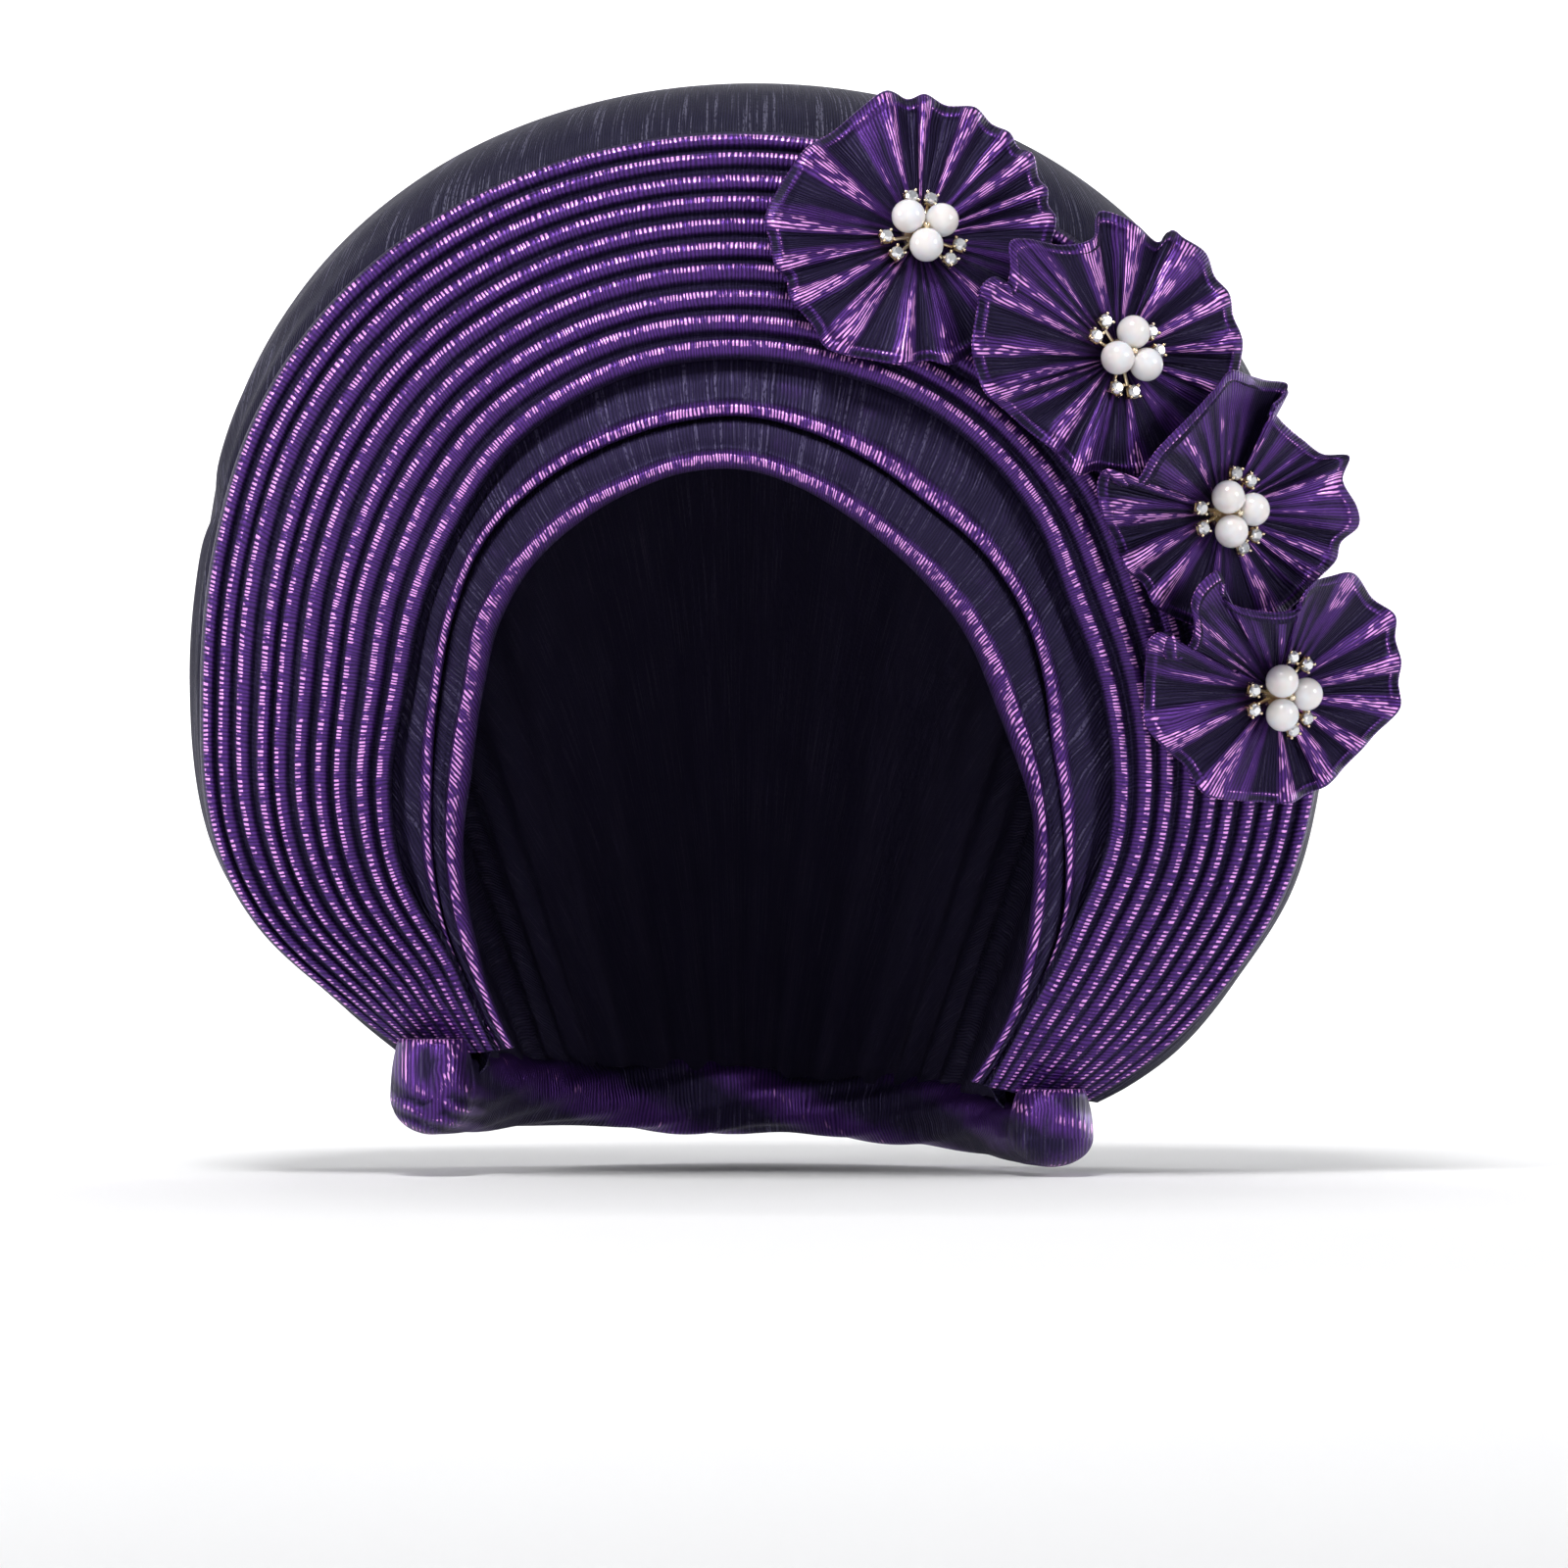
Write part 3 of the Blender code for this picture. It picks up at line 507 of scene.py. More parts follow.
def cloth_piece(name, columns, surfaces, node, lean=0.0, closed=False, disc=False):
    """A sheet of cloth through the knots of its columns, with its wall, printing the size and area of its flat cut.

    Its threads run along the columns, or turn upright at the sides of the arch as lean goes to 1.
    On a closed roll, the threads of both tips are upright.
    """
    along, across = len(columns) - 1, len(columns[0]) - 1
    bm = bmesh.new()
    bmesh.ops.create_grid(bm, x_segments=along, y_segments=across, size=0.5)
    crest = bm.verts.layers.float.new("crest")
    cut = bm.loops.layers.uv.new("cut")
    down = [distances(column) for column in columns]
    rows = [distances([column[j] for column in columns]) for j in range(across + 1)]
    guide = rows[round(across * 0.55)]
    top = min(range(along + 1), key=lambda i: abs(columns[i][0].x) + (columns[i][0].z < CENTRE.z))
    widest = max(range(along + 1), key=lambda i: abs(columns[i][0].x))
    quarter = abs(guide[widest] - guide[top])

    def thread_place(i, j):
        """Where a point lies across and along the threads."""
        arc = guide[i] - guide[top]
        if closed and not disc:
            tip = smooth_step((0.07 - min(i, along - i) / along) / 0.03)
            return blend(arc, columns[i][j].x, tip), down[i][j]
        if not lean:
            return arc, down[i][j]
        radius = quarter / (lean * pi / 2)
        turn = min(abs(arc), quarter) / radius
        reach, beyond = radius + down[i][j], max(0, abs(arc) - quarter)
        across = reach * sin(turn) + beyond * cos(turn)
        return copysign(across, arc), reach * cos(turn) - radius - beyond * sin(turn)

    spot = {}
    for vertex in bm.verts:
        i, j = round((vertex.co.x + 0.5) * along), round((vertex.co.y + 0.5) * across)
        spot[vertex] = (i, j)
        vertex.co = columns[i][j].xyz
        vertex[crest] = columns[i][j].w
    for face in bm.faces:
        for loop in face.loops:
            i, j = spot[loop.vert]
            loop[cut].uv = thread_place(i, j)
    area = sum(face.calc_area() for face in bm.faces)
    if closed:
        bmesh.ops.remove_doubles(bm, verts=bm.verts, dist=1e-6)
        bmesh.ops.recalc_face_normals(bm, faces=bm.faces)
    mesh = bpy.data.meshes.new(name)
    bm.to_mesh(mesh)
    bm.free()
    mesh.shade_smooth()
    for surface in surfaces:
        mesh.materials.append(surface)
    piece = bpy.data.objects.new(name, mesh)
    bpy.context.scene.collection.objects.link(piece)
    wall = piece.modifiers.new("wall", "SOLIDIFY")
    wall.thickness = CLOTH
    wall.offset = -1
    wall.material_offset = len(surfaces) - 1
    width, length = max(row[-1] for row in rows), max(line[-1] for line in down)
    if disc:
        width = length = 2 * length
    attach(piece, "root")
    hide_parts(node)
    print(f"{name}: cut {width:.3f} x {length:.3f} m, area {area:.4f} m2")
    return piece


# The wraps


def inner_cap(surfaces):
    """The cap: a rolled edge round the face, a flat fold, and a dome gathered to the nape."""
    width = HEAD_HALF_WIDTH + WALL
    height = ARCH_DROP + CAP_TOP + WALL
    dome_turns = [6 * n for n in range(1, 16)]
    nape_turns = [3 * n for n in range(1, 31)]
    columns = []
    for i in range(STATIONS + 1):
        share = i / STATIONS
        section = section_at(share)
        rise = fold_rise(share)
        flat = section.fold - section.roll
        lip = section.roll - section.edge
        width_above = section.fan_in - section.fold
        ripple = 0.0004 * sin(46 * share) * sin(171 * share)
        # Rows: how far out, how far lifted, and the crest share that sets the painted light there.
        front = [
            (section.edge + 0.55 * lip, -0.0048, 0.0),
            (section.edge + 0.12 * lip, -0.0040, 0.0),
            (section.edge, -0.0022, 0.2),
            (section.edge + 0.22 * lip, 0.0000, 0.55),
            (section.edge + 0.62 * lip, 0.82 * EDGE_ROLL * rise, 0.9),
            (section.roll, EDGE_ROLL * rise, 1.0),
            (section.roll + 0.09 * flat, 0.62 * EDGE_ROLL * rise, 0.5),
            (section.roll + 0.20 * flat, 0.0002 + ripple, 0.05),
            (section.roll + 0.42 * flat, 0.0005 + ripple, 0.12),
            (section.fold - 0.30 * flat, -0.0001, 0.1),
            (section.fold - 0.17 * width_above, lip_lift(section) - WALL - 1.5 * GAP, 0.0),
        ]
        knots = [knot(on_front(section, out, lift), crest) for out, lift, crest in front]
        start = on_front(section, section.fold + min(0.025, 0.3 * width_above))
        start.y = front_depth(section, section.fan_in + 0.016) + PLEAT_BACK + WALL + 7 * GAP
        knots.append(knot(start, 0.0))
        column = smooth_through(knots, 5)
        angle = atan2(start.x, start.z - CENTRE.z)
        inner = hypot(start.x, start.z - CENTRE.z)
        head = 1 / sqrt((sin(angle) / width) ** 2 + (cos(angle) / height) ** 2)
        outer = max(head, inner + 0.0006)
        full = sqrt(fullness(section))
        ring_depth = blend(start.y + 0.006, 0.0, full)
        for degrees_round in dome_turns:
            turn = radians(degrees_round)
            depth = blend(start.y, ring_depth, 1 - cos(turn))
            column.append(knot(polar(angle, blend(inner, outer, sin(turn)), depth), 0.1))
        ring = polar(angle, outer, ring_depth)
        hem = hem_point(share, -HEM_APART, -HEM_INSIDE)
        for degrees_round in nape_turns:
            turn = radians(degrees_round)
            place = sweep_to_nape(ring, hem, CAP_REACH * fullness(section) + 0.002, turn)
            column.append(knot(place, 0.1))
        columns.append(column)
    rows = len(columns[0]) - 1

    def gathers(i, j):
        share, back = i / STATIONS, j / rows
        near_hem = smooth_step((back - 0.55) / 0.45)
        wave = cos(2 * pi * 21 * share + 1.3 * sin(2 * pi * 4 * share))
        return -0.0016 * near_hem * (0.5 + 0.5 * wave)

    cloth_piece("inner_cap", pushed(columns, gathers), surfaces, "base_cap", lean=0.7)


def second_fold(surfaces):
    """A strip with a rolled edge, lying on the cap's flat fold and running in under the pleats."""
    columns = []
    for i in range(STATIONS + 1):
        share = i / STATIONS
        section = section_at(share)
        width = section.fan_in - section.fold
        under = section.fan_in - 0.07 * (section.fan_out - section.fan_in)
        below = -PLEAT_BACK - 1.5 * GAP
        lip = lip_lift(section)
        roll = blend(below, EDGE_ROLL * fold_rise(share), fold_openness(section))
        ripple = 0.0005 * sin(39 * share + 1) * sin(150 * share)
        # Rows: how far out, how far lifted, and the crest share that sets the painted light there.
        rows = [
            (section.fold + 0.02 * width, lip - 0.0010, 0.0),
            (section.fold - 0.13 * width, lip - 0.0004, 0.1),
            (section.fold - 0.16 * width, blend(lip, roll, 0.35), 0.35),
            (section.fold - 0.10 * width, blend(lip, roll, 0.85), 0.85),
            (section.fold, roll, 1.0),
            (section.fold + 0.08 * width, blend(lip, roll, 0.72), 0.5),
            (section.fold + 0.18 * width, blend(lip, roll, 0.30) + ripple, 0.1),
            (section.fold + 0.45 * width, lip + 0.0004 + ripple, 0.15),
            (blend(section.fold, under, 0.8), blend(lip, below, 0.5), 0.05),
            (under, below, 0.0),
            (section.fan_in + 0.014, below - 0.0003, 0.0),
        ]
        columns.append(smooth_through([knot(on_front(section, out, lift), c) for out, lift, c in rows], 5))
    cloth_piece("second_roll", columns, surfaces, "second_fold", lean=0.7)


def pleated_fan(surfaces):
    """Ten round ridges side by side, each a little uneven, pressed flat at the gathers."""
    steps = 12
    columns = []
    for i in range(STATIONS + 1):
        share = i / STATIONS
        section = section_at(share)
        rise = fold_rise(share)
        spread = section.fan_out - section.fan_in
        column = [knot(on_front(section, section.fan_in - 0.04 * spread, -PLEAT_BACK), 0.0)]
        for n, ridge in enumerate(PLEAT_PLACES):
            before = PLEAT_PLACES[n - 1] if n else ridge - 0.11
            after = PLEAT_PLACES[n + 1] if n + 1 < len(PLEAT_PLACES) else ridge + 0.09
            drift = 0.008 * sin(2 * pi * (2.3 * share + 0.37 * n)) * rise
            lift = PLEAT_RISE * rise * (1.22 + 0.10 * sin(2 * pi * (3.1 * share + 0.61 * n)))
            for step in range(steps):
                across = -1 + 2 * step / steps
                half = (ridge - before) / 2 if across < 0 else (after - ridge) / 2
                place = ridge + half * across + drift * (1 - across * across)
                away = (across - 0.30) / (0.70 if across > 0.30 else 1.30)
                round_over = max(0.0, 1 - abs(away) ** 2.2) ** 0.72
                # Painted light across each pleat: full on the ridge's top, less down its inner slope, none on its
                # outer flank and in the grooves.
                inner_share = (across + 1) / 1.30
                if across > 0.30:
                    crest = 1 - smooth_step((across - 0.40) / 0.40)
                else:
                    crest = 0.60 * smooth_step(inner_share / 0.42) + 0.40 * smooth_step((inner_share - 0.70) / 0.22)
                column.append(
                    knot(on_front(section, section.fan_in + place * spread, lift * round_over), crest)
                )
        column.append(knot(on_front(section, section.fan_out + 0.045 * spread, 0.0), 0.0))
        column.append(knot(on_front(section, section.fan_out + 0.03 * spread, -PLEAT_BACK), 0.0))
        columns.append(column)
    cloth_piece("fan_pleats", columns, surfaces, "pleated_fan", lean=0.1)


def crown_wrap(surfaces):
    """The plain outer cloth, from behind the last pleat over the crown and down to the nape."""
    rim_turns = [5 * n for n in range(19)]
    nape_turns = [1.5 * n for n in range(1, 61)]
    columns = []
    for i in range(STATIONS + 1):
        share = i / STATIONS
        section = section_at(share)
        spread = section.fan_out - section.fan_in
        start = on_front(section, section.fan_out - 0.004)
        start.y = front_depth(section, section.fan_out + 0.05 * spread) + PLEAT_BACK + 1.5 * GAP
        angle = radians(section.rim)
        inner = hypot(start.x, start.z - CENTRE.z)
        outer = section.crown * CROWN_RADIUS
        full = fullness(section)
        ring_depth = start.y + 0.004 + 0.034 * full**0.7
        start_angle = atan2(start.x, start.z - CENTRE.z)
        column = [knot(on_front(section, section.fan_out - 0.009, -PLEAT_BACK - 1.5 * GAP), 0.0)]
        for degrees_round in rim_turns:
            turn = radians(degrees_round)
            depth = blend(start.y, ring_depth, 1 - cos(turn))
            place = polar(blend(start_angle, angle, sin(turn)), blend(inner, outer, sin(turn)), depth)
            column.append(knot(place, 0.15))
        ring = polar(angle, outer, ring_depth)
        hem = hem_point(share, HEM_APART, -HEM_INSIDE)
        for degrees_round in nape_turns:
            turn = radians(degrees_round)
            place = sweep_to_nape(ring, hem, CROWN_REACH * full + 0.002, turn)
            column.append(knot(place, 0.15))
        columns.append(column)
    rows = len(columns[0]) - 1
    pinch = -71

    def drape(i, j):
        share, back = i / STATIONS, j / rows
        away = section_at(share).rim - pinch
        near_hem = smooth_step((back - 0.42) / 0.58)
        gathers = 0.0030 * near_hem * (0.5 + 0.5 * cos(2 * pi * 24 * share + 1.6 * sin(2 * pi * 3 * share)))
        gathers *= 1 - 0.6 * smooth_step((back - 0.94) / 0.06)
        beside = exp(-((away / 26) ** 2))
        long_fold = 0.0009 * beside * sin(pi * min(back / 0.30, 1)) * cos(2 * pi * back / 0.085 + 0.05 * away)
        dent = -0.0020 * exp(-((away / 2.4) ** 2)) * exp(-(((back - 0.15) / 0.05) ** 2))
        soft = 0.0007 * sin(2 * pi * (5 * share + 1.7 * back)) * smooth_step((back - 0.1) / 0.2)
        return gathers + long_fold + dent + soft

    cloth_piece("crown_cloth", pushed(columns, drape), surfaces, "crown_wrap", lean=1.0)


def nape_roll(surfaces):
    """The wound roll behind the neck. Its ends are pouches with a flat top that laps over the gathers."""
    stations, sides = 240, 72
    columns = []
    for i in range(stations + 1):
        share = i / stations
        from_end = min(share, 1 - share)
        size = sqrt(max(0.0, 1 - max(0.0, 1 - from_end / 0.085) ** 3.4))
        end = smooth_step((0.2 - from_end) / 0.16)
        lap = ROLL_LAP * smooth_step((0.085 - from_end) / 0.03)
        drop = BAND_RIGHT_DROP * smooth_step((share - 0.7) / 0.2)
        half_height = blend(BAND_HALF_HEIGHT_LEFT, BAND_HALF_HEIGHT_RIGHT, share)
        column = []
        for j in range(sides + 1):
            turn = 2 * pi * (j % sides) / sides
            wind = cos(2 * turn + 2 * pi * 3.5 * share + 0.8 * sin(2 * pi * 2 * share))
            swell = 1 + (0.10 * wind + 0.04 * cos(7 * turn - 2 * pi * 9 * share)) * (1 - end)
            up = -sin(turn) * size * swell
            level = blend(up, min(1.0, 1.7 * up), end) if up > 0 else up
            outward = BAND_END_OUT * end + (BAND_HALF_THICKNESS + BAND_END_SWELL * end) * size * swell * cos(turn)
            height = -half_height * (1 - level) - GAP - drop + lap * max(0.0, level)
            place = hem_point(blend(-0.12, 1.12, share), outward, height)
            slant = 0.85 * place.x + place.z if share < 0.5 else 0.25 * place.x - 0.3 * place.z
            crease = abs(sin(slant * 330 + 2.0 * sin(place.z * 210))) ** 0.7
            place.y -= 0.0022 * end * crease * smooth_step(from_end / 0.004)
            # Painted light on the roll: lighter where the winding swells out, and at the pouches along their creases
            # and their folded top edge.
            hem = smooth_step((level - 0.80) / 0.16) * smooth_step((1.12 - up) / 0.3)
            crest = blend(0.35 + 0.4 * wind, max(0.15 + 0.75 * crease**3, hem), end)
            column.append(knot(place, min(1.0, max(0.0, crest))))
        columns.append(column)
    cloth_piece("nape_roll", columns, surfaces, "nape_band", closed=True)


# The rosettes and their brooches


def rosette_centre(row):
    angle = radians(row.angle)
    return Vector((row.out * CROWN_RADIUS * sin(angle), CENTRE.z + row.out * CROWN_RADIUS * cos(angle)))


SECTION_BY_DEGREE = [section_at(share_at(degree)) for degree in range(-20, 131)]


def foot_depth(x, z):
    """The pleats' foot behind a point of the front view."""
    place = degrees(atan2(x, z - CENTRE.z)) - (-20)
    first = int(place)
    out = hypot(x, z - CENTRE.z) / CROWN_RADIUS
    a, b = (front_depth(SECTION_BY_DEGREE[first + k], out) for k in (0, 1))
    return blend(a, b, place - first)


def rosette_frame(row):
    """The plane of a rosette's flat middle: its matrix has the front as its Z and up as its Y."""
    middle = rosette_centre(row)
    step = ROSETTE_SEAT * 0.8
    slope_x = (foot_depth(middle.x + step, middle.y) - foot_depth(middle.x - step, middle.y)) / (2 * step)
    slope_z = (foot_depth(middle.x, middle.y + step) - foot_depth(middle.x, middle.y - step)) / (2 * step)
    front = Vector((slope_x, -1, slope_z)).normalized()
    right = Vector((1, slope_x, 0)).normalized()
    up = front.cross(right)
    place = Vector((middle.x, foot_depth(middle.x, middle.y) - PLEAT_RISE - ROSETTE_LIFT, middle.y))
    return Matrix.Translation(place) @ Matrix((right, up, front)).transposed().to_4x4()


def rim_line(number, around):
    """The knots of a rosette's rim on a smooth closed curve: across, up, rise and angle."""
    table = RIMS[number]
    knots = []
    for angle, share, rise in table:
        turn = radians(angle)
        reach = ROSETTES[number].radius * share
        knots.append(Vector((reach * sin(turn), reach * cos(turn), rise, turn)))
    full_turn = Vector((0, 0, 0, 2 * pi))
    line = []
    for i in range(around):
        place = i / around * len(knots)
        first = int(place)
        t = place - first
        a, b, c, d = (knots[(first + k) % len(knots)] + full_turn * ((first + k) // len(knots)) for k in (-1, 0, 1, 2))
        line.append(b + 0.5 * t * (c - a + t * (2 * a - 5 * b + 4 * c - d + t * (3 * (b - c) + d - a))))
    return line


def gathers(turn, out, phase):
    """Fine folds that fan out from the brooch and die away before the rim."""
    wander = 0.9 * sin(turn + 1.3 * phase) + 0.6 * sin(3 * turn + phase)
    wander += 0.8 * sin(5 * turn + 2.3 * phase)
    fine = abs(sin(11 * turn + 1.6 * wander + 0.6 * sin(3 * out + phase))) ** 0.7
    finest = abs(sin(23 * turn + 1.3 * wander + phase)) ** 0.8
    fade = sin(pi * min(1.0, 0.10 + 0.85 * out)) * (0.65 + 0.35 * sin(2 * turn + 3.1 * phase))
    return 0.0016 * (fine - 0.6) * fade + 0.0007 * (finest - 0.5) * min(1.0, 3 * out) * (1 - 0.75 * out)


def rosette(number, surfaces):
    """A gathered ring of cloth: folds from the brooch to a folded rim, lapping over its neighbour."""
    row = ROSETTES[number]
    middle = rosette_centre(row)
    around, rings, edge_rows, spread, near = 480, 50, 8, 26, 7
    line = rim_line(number, around)
    before = after = None
    if number:
        way = rosette_centre(ROSETTES[number - 1]) - middle
        before = atan2(way.x, way.y)
    if number + 1 < len(ROSETTES):
        way = rosette_centre(ROSETTES[number + 1]) - middle
        after = atan2(way.x, way.y)
    turns = []
    for i in range(around):
        window = [line[(i + k) % around].w + 2 * pi * ((i + k) // around) for k in range(-spread, spread + 1)]
        turns.append(sum(window) / len(window))
    heights = []
    for i in range(around):
        turn, rise = turns[i], line[i].z
        over = smooth_step((cos(turn - before) - 0.35) / 0.5) if before is not None else 0.0
        under = smooth_step((cos(turn - after) - 0.35) / 0.5) if after is not None else 0.0
        column = []
        for j in range(rings + 1):
            out = j / rings
            height = PETAL_RISE * out**0.7 - 0.0012 * (1 - out) ** 3 + gathers(turn, out, 1.7 * number)
            height += RUFFLE_RISE * rise * (1 - 0.6 * under) * blend(smooth_step(out / 0.5), out, 0.6) * out**0.2
            height += 0.0050 * over * out**2 - 0.0034 * under * out**1.5
            height += 0.0006 * sin(pi * min(1.0, max(0.0, (out - 0.90) / 0.10)))
            column.append(height)
        heights.append(column)
    columns = []
    for i in range(around + 1):
        here = i % around
        rim = Vector(line[here].xy)
        inner = 0.0025 * Vector((sin(turns[here]), cos(turns[here])))
        way_out = (rim - inner).normalized()
        column = []
        for j in range(rings + edge_rows + 1):
            ring = min(j, rings)
            out = ring / rings
            height = heights[here][ring]
            beside = 0.5 * (heights[here - near][ring] + heights[(here + near) % around][ring])
            # Painted light: the crest share is high on folds that stand out from their neighbours, along a line just
            # inside the rim, and over the folded edge.
            ridge = smooth_step(0.40 + (height - beside) / 0.0017)
            ridge = max(ridge, 0.95 * smooth_step(1 - abs(out - 0.945) / 0.028))
            place = inner.lerp(rim, out)
            if j > rings:
                bend = pi * (j - rings) / (edge_rows - 2)
                tail = max(0.0, bend - pi)
                bend = min(bend, pi)
                place += way_out * (PETAL_EDGE * sin(bend) - 0.002 * tail)
                height -= PETAL_EDGE * (1 - cos(bend))
                ridge = max(0.2, 0.9 * sin(bend))
            x, z = middle.x + place.x, middle.y + place.y
            column.append(knot((x, foot_depth(x, z) - PLEAT_RISE - ROSETTE_LIFT - height, z), ridge))
        columns.append(column)
    name = f"rosette_{number + 1}"
    cloth_piece(
        f"ruffle_{number + 1}", columns, surfaces, name, closed=True, disc=True
    )


def stone_places(row):
    """The six stones' angles, in pairs about three axes."""
    for axis in (0, 120, 240):
        for side in (-1, 1):
            yield radians(row.turn + axis + side * STONE_SPREAD)


def plain_piece(name, bm, surface, nodes, smooth=True):
    mesh = bpy.data.meshes.new(name)
    bm.to_mesh(mesh)
    bm.free()
    mesh.materials.append(surface)
    if smooth:
        mesh.shade_smooth()
        mesh.set_sharp_from_angle(angle=radians(40))
    piece = bpy.data.objects.new(name, mesh)
    bpy.context.scene.collection.objects.link(piece)
    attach(piece, "root")
    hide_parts(*nodes)
    return piece


def rod(bm, start, end, thick, thin, segments=10):
    """A round rod between two points."""
    way = end - start
    turned = Vector((0, 0, 1)).rotation_difference(way).to_matrix().to_4x4()
    bmesh.ops.create_cone(
        bm,
        cap_ends=True,
        segments=segments,
        radius1=thick,
        radius2=thin,
        depth=way.length,
        matrix=Matrix.Translation((start + end) / 2) @ turned,
    )


def brooch_mount(number, surface):
    """A hub with a joint bead, six stems, and a square cup with four prongs at each stem's end."""
    frame_place = rosette_frame(ROSETTES[number]) @ Matrix.Translation((0, 0, GAP))
    top = FRAME_THICKNESS + SEAT_HEIGHT
    half = STONE_WIDTH * 0.5
    bm = bmesh.new()
    rod(bm, Vector((0, 0, 0)), Vector((0, 0, FRAME_THICKNESS)), 0.0042, 0.0038, 32)
    bead = Matrix.Translation((0, 0, FRAME_THICKNESS + PEARL_RADIUS * 1.3))
    bmesh.ops.create_uvsphere(bm, u_segments=16, v_segments=10, radius=0.0008, matrix=bead)
    rod(bm, Vector((0, 0, 0)), Vector((0, 0, FRAME_THICKNESS + PEARL_RADIUS * 1.3)), 0.0006, 0.0006)
    for turn in stone_places(ROSETTES[number]):
        out = Vector((sin(turn), cos(turn), 0))
        side = Vector((out.y, -out.x, 0))
        middle = out * STONE_RING
        foot = middle + Vector((0, 0, 0.0008))
        rod(bm, out * 0.003 + Vector((0, 0, 0.0006)), foot, 0.00055, 0.00045)
        turned = Matrix.Rotation(pi / 4 - turn, 4, "Z")
        bmesh.ops.create_cone(
            bm,
            cap_ends=True,
            segments=4,
            radius1=half * 0.75,
            radius2=half * 1.28,
            depth=top - 0.0006,
            matrix=Matrix.Translation(middle + Vector((0, 0, (top + 0.0006) / 2))) @ turned,
        )
        for a, b in ((1, 1), (1, -1), (-1, 1), (-1, -1)):
            corner = (out * a + side * b) * half * 0.80
            rod(bm, middle + corner * 0.85 + Vector((0, 0, 0.0012)), middle + corner * 1.04 + Vector((0, 0, top + 0.0012)), 0.00034, 0.00030, 8)
            tip = Matrix.Translation(middle + corner * 0.98 + Vector((0, 0, top + 0.0013)))
            bmesh.ops.create_uvsphere(bm, u_segments=8, v_segments=6, radius=0.00042, matrix=tip)
    bmesh.ops.transform(bm, matrix=frame_place, verts=bm.verts)
    plain_piece(f"brooch_{number + 1}_mount", bm, surface, [f"brooch_{number + 1}_frame"])


def brooch_pearls(number, surface):
    row = ROSETTES[number]
    height = 2 * GAP + FRAME_THICKNESS + PEARL_RADIUS
    for n, axis in enumerate((60, 180, 300)):
        turn = radians(row.turn + axis)
        place = Matrix.Translation((PEARL_RING * sin(turn), PEARL_RING * cos(turn), height))
        bm = bmesh.new()
        bmesh.ops.create_uvsphere(bm, u_segments=40, v_segments=24, radius=PEARL_RADIUS * 1.02)
        bmesh.ops.transform(bm, matrix=rosette_frame(row) @ place, verts=bm.verts)
        node = f"brooch_{number + 1}_pearl_{n + 1}"
        plain_piece(f"pearl_{number + 1}_{n + 1}", bm, surface, [node])


def brooch_stones(number, surface):
    """Round-cut stones: rings of corners closed into facets, the facets each with their own grey of painted sparkle.
    """
    row = ROSETTES[number]
    foot = 2 * GAP + FRAME_THICKNESS + SEAT_HEIGHT
    half = STONE_WIDTH / 2
    for n, turn in enumerate(stone_places(row)):
        bm = bmesh.new()
        for segments, radius, height, twist in (
            (8, 0.56, 0.00165, 0.0),
            (8, 0.84, 0.00125, pi / 8),
            (16, 1.00, 0.00075, 0.0),
            (8, 0.55, 0.00010, pi / 8),
        ):
            place = Matrix.Translation((0, 0, height)) @ Matrix.Rotation(twist, 4, "Z")
            bmesh.ops.create_circle(bm, segments=segments, radius=radius * half, matrix=place)
        bmesh.ops.delete(bm, geom=bm.edges[:], context="EDGES_FACES")
        bmesh.ops.convex_hull(bm, input=bm.verts[:])
        bmesh.ops.dissolve_limit(bm, angle_limit=radians(2), verts=bm.verts, edges=bm.edges)
        # Painted sparkle: each face of the cut gets its own grey.
        painted_sparkle = bm.verts.layers.float.new("painted_sparkle")
        bmesh.ops.split_edges(bm, edges=bm.edges[:])
        for index, face in enumerate(bm.faces):
            grey = 0.5 + 0.5 * sin(2.4 * index + 1.7 * n + number)
            for vertex in face.verts:
                vertex[painted_sparkle] = grey**0.6
        middle = Matrix.Translation((STONE_RING * sin(turn), STONE_RING * cos(turn), foot))
        bmesh.ops.transform(bm, matrix=rosette_frame(row) @ middle @ Matrix.Rotation(-turn, 4, "Z"), verts=bm.verts)
        node = f"brooch_{number + 1}_stone_{n + 1}"
        plain_piece(f"stone_{number + 1}_{n + 1}", bm, surface, [node], smooth=False)


# Where it stands


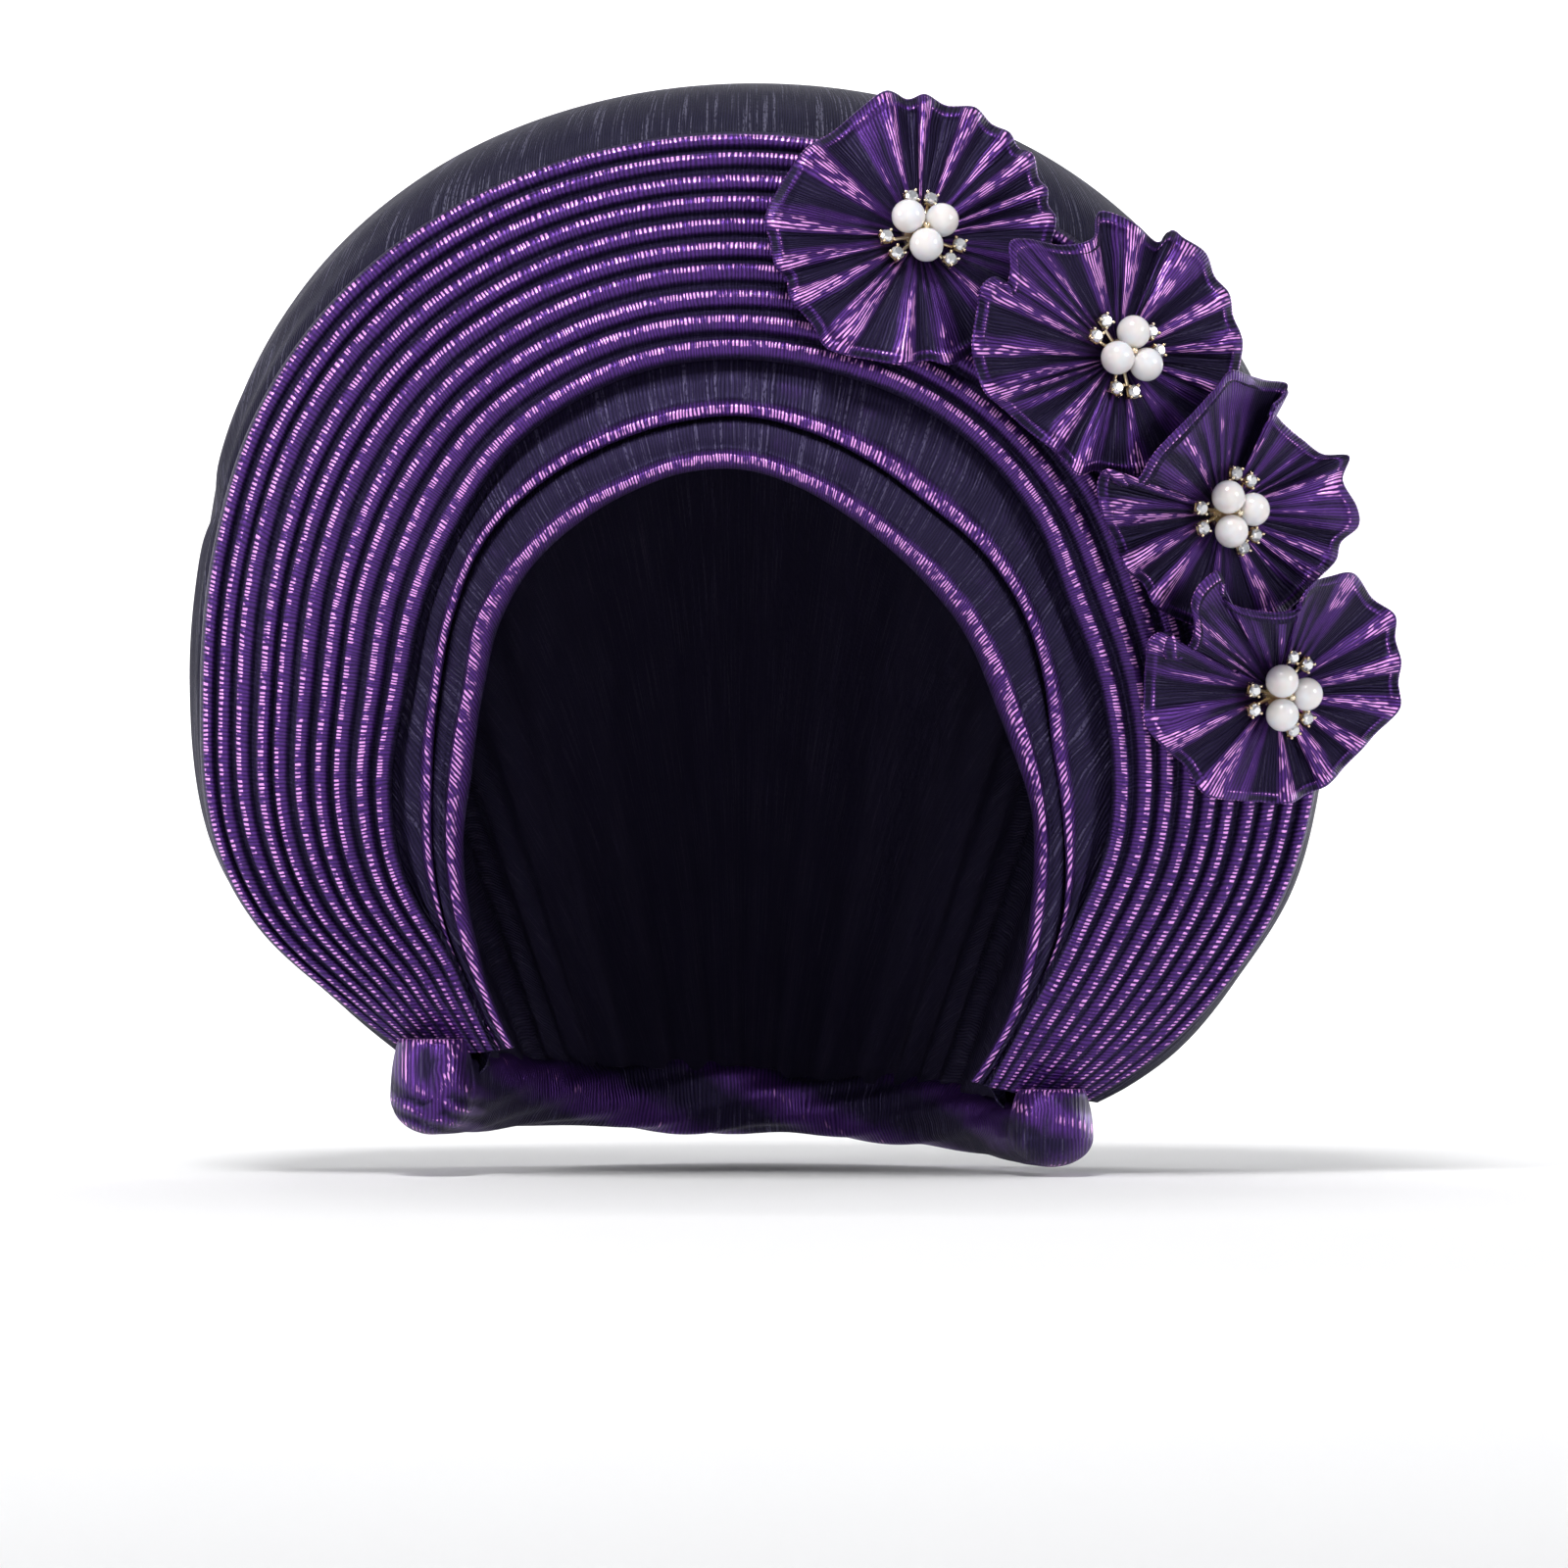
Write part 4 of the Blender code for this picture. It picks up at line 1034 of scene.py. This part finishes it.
def studio():
    """A round pale floor that curves up on all sides, soft lights and the camera."""
    lowest = cad_box[0].z - 0.002
    bm = bmesh.new()
    bmesh.ops.create_circle(bm, cap_ends=True, segments=96, radius=2.6)
    bmesh.ops.translate(bm, verts=bm.verts, vec=(0, 0, lowest))
    for step in range(1, 17):
        bend = min(step, 12) / 12 * pi / 2
        rise = 0.9 * (1 - cos(bend)) + 0.25 * max(0, step - 12)
        outer = [edge for edge in bm.edges if edge.is_boundary]
        made = bmesh.ops.extrude_edge_only(bm, edges=outer)["geom"]
        reach = 2.6 + 0.9 * sin(bend)
        for vertex in made:
            if isinstance(vertex, bmesh.types.BMVert):
                flat = Vector((vertex.co.x, vertex.co.y, 0)).normalized() * reach
                vertex.co = Vector((flat.x, flat.y, lowest + rise))
    bmesh.ops.recalc_face_normals(bm, faces=bm.faces)
    mesh = bpy.data.meshes.new("floor")
    bm.to_mesh(mesh)
    bm.free()
    mesh.shade_smooth()
    f = Finish("pale_floor")
    place = f.node("ShaderNodeTexCoord", {}, {}, output=3)
    cloud = f.node("ShaderNodeTexNoise", {}, {"Vector": place, "Scale": 3.0, "Detail": 2.0})
    pale = f.mix(cloud, (0.86, 0.86, 0.87), (0.90, 0.90, 0.90))
    mesh.materials.append(f.set(Base_Color=pale, Roughness=0.9))
    floor = bpy.data.objects.new("floor", mesh)
    bpy.context.scene.collection.objects.link(floor)

    aim = Vector((0, 0, -0.08))
    for name, place, at, size, power in (
        ("above", (-0.20, -0.85, 1.35), aim, 0.45, 20),
        ("left", (-1.55, -0.75, 0.40), aim, 0.45, 9),
        ("right", (1.55, -0.80, 0.45), aim, 0.45, 8),
        ("fill", (0.0, -2.9, 0.35), aim, 1.2, 6),
        ("backdrop", (0.0, 1.2, 1.9), Vector((0, 3.4, 0.2)), 1.4, 90),
        ("behind", (1.3, 1.5, 0.1), aim, 0.5, 6),
    ):
        light = bpy.data.lights.new(name, "AREA")
        light.size = size
        light.energy = power
        lamp = bpy.data.objects.new(name, light)
        lamp.location = place
        lamp.rotation_euler = (at - Vector(place)).to_track_quat("-Z", "Y").to_euler()
        bpy.context.scene.collection.objects.link(lamp)

    world = bpy.data.worlds.new("studio")
    world.use_nodes = True
    world.node_tree.nodes["Background"].inputs["Color"].default_value = (0.95, 0.96, 1.0, 1)
    world.node_tree.nodes["Background"].inputs["Strength"].default_value = 0.16
    bpy.context.scene.world = world
    bpy.context.scene.view_settings.view_transform = "Standard"

    camera = bpy.data.cameras.new("camera")
    camera.sensor_width = 36
    camera.lens = 230
    camera.clip_end = 50
    eye = bpy.data.objects.new("camera", camera)
    eye.location = (0.009, -2.35, -0.1316)
    eye.rotation_euler = (pi / 2, 0, 0)
    bpy.context.scene.collection.objects.link(eye)
    bpy.context.scene.camera = eye


def main():
    # purple is the painted lit colour of the crests; passed third, it is the painted highlight colour of the inside
    # and the crown. The pale pink below is the colour of the painted highlight dashes. The fan's flat colour is
    # lighter than the other cloths', painted light that keeps its grooves from going black.
    purple = (0.110, 0.034, 0.26)
    painted_highlight = (0.92, 0.40, 0.96)
    wrong_side = lame("wrong_side", (0.022, 0.017, 0.048), (0.045, 0.024, 0.10), purple, pale=0.2, roughness=0.5)
    edge_cloth = lame("edge_cloth", (0.024, 0.016, 0.060), purple, painted_highlight, pitch=0.0009, pale=0.6)
    fan_cloth = lame("fan_cloth", (0.034, 0.022, 0.080), purple, painted_highlight, pitch=0.0010, pale=0.2, shiny_from=0.71)
    crown_cloth = lame("crown_cloth", (0.015, 0.013, 0.038), (0.030, 0.025, 0.070), purple, pale=0.9, metal=0.2)
    ruffle_cloth = lame("ruffle_cloth", (0.018, 0.011, 0.048), purple, painted_highlight, pitch=0.0007, pale=0.3, patchy=0.9)
    gold, pearl, stone = gold_finish(), pearl_finish(), stone_finish()

    inner_cap([edge_cloth, wrong_side])
    second_fold([edge_cloth])
    pleated_fan([fan_cloth])
    crown_wrap([crown_cloth, wrong_side])
    nape_roll([edge_cloth])
    for number in range(len(ROSETTES)):
        rosette(number, [ruffle_cloth])
        brooch_mount(number, gold)
        brooch_pearls(number, pearl)
        brooch_stones(number, stone)
    studio()


main()
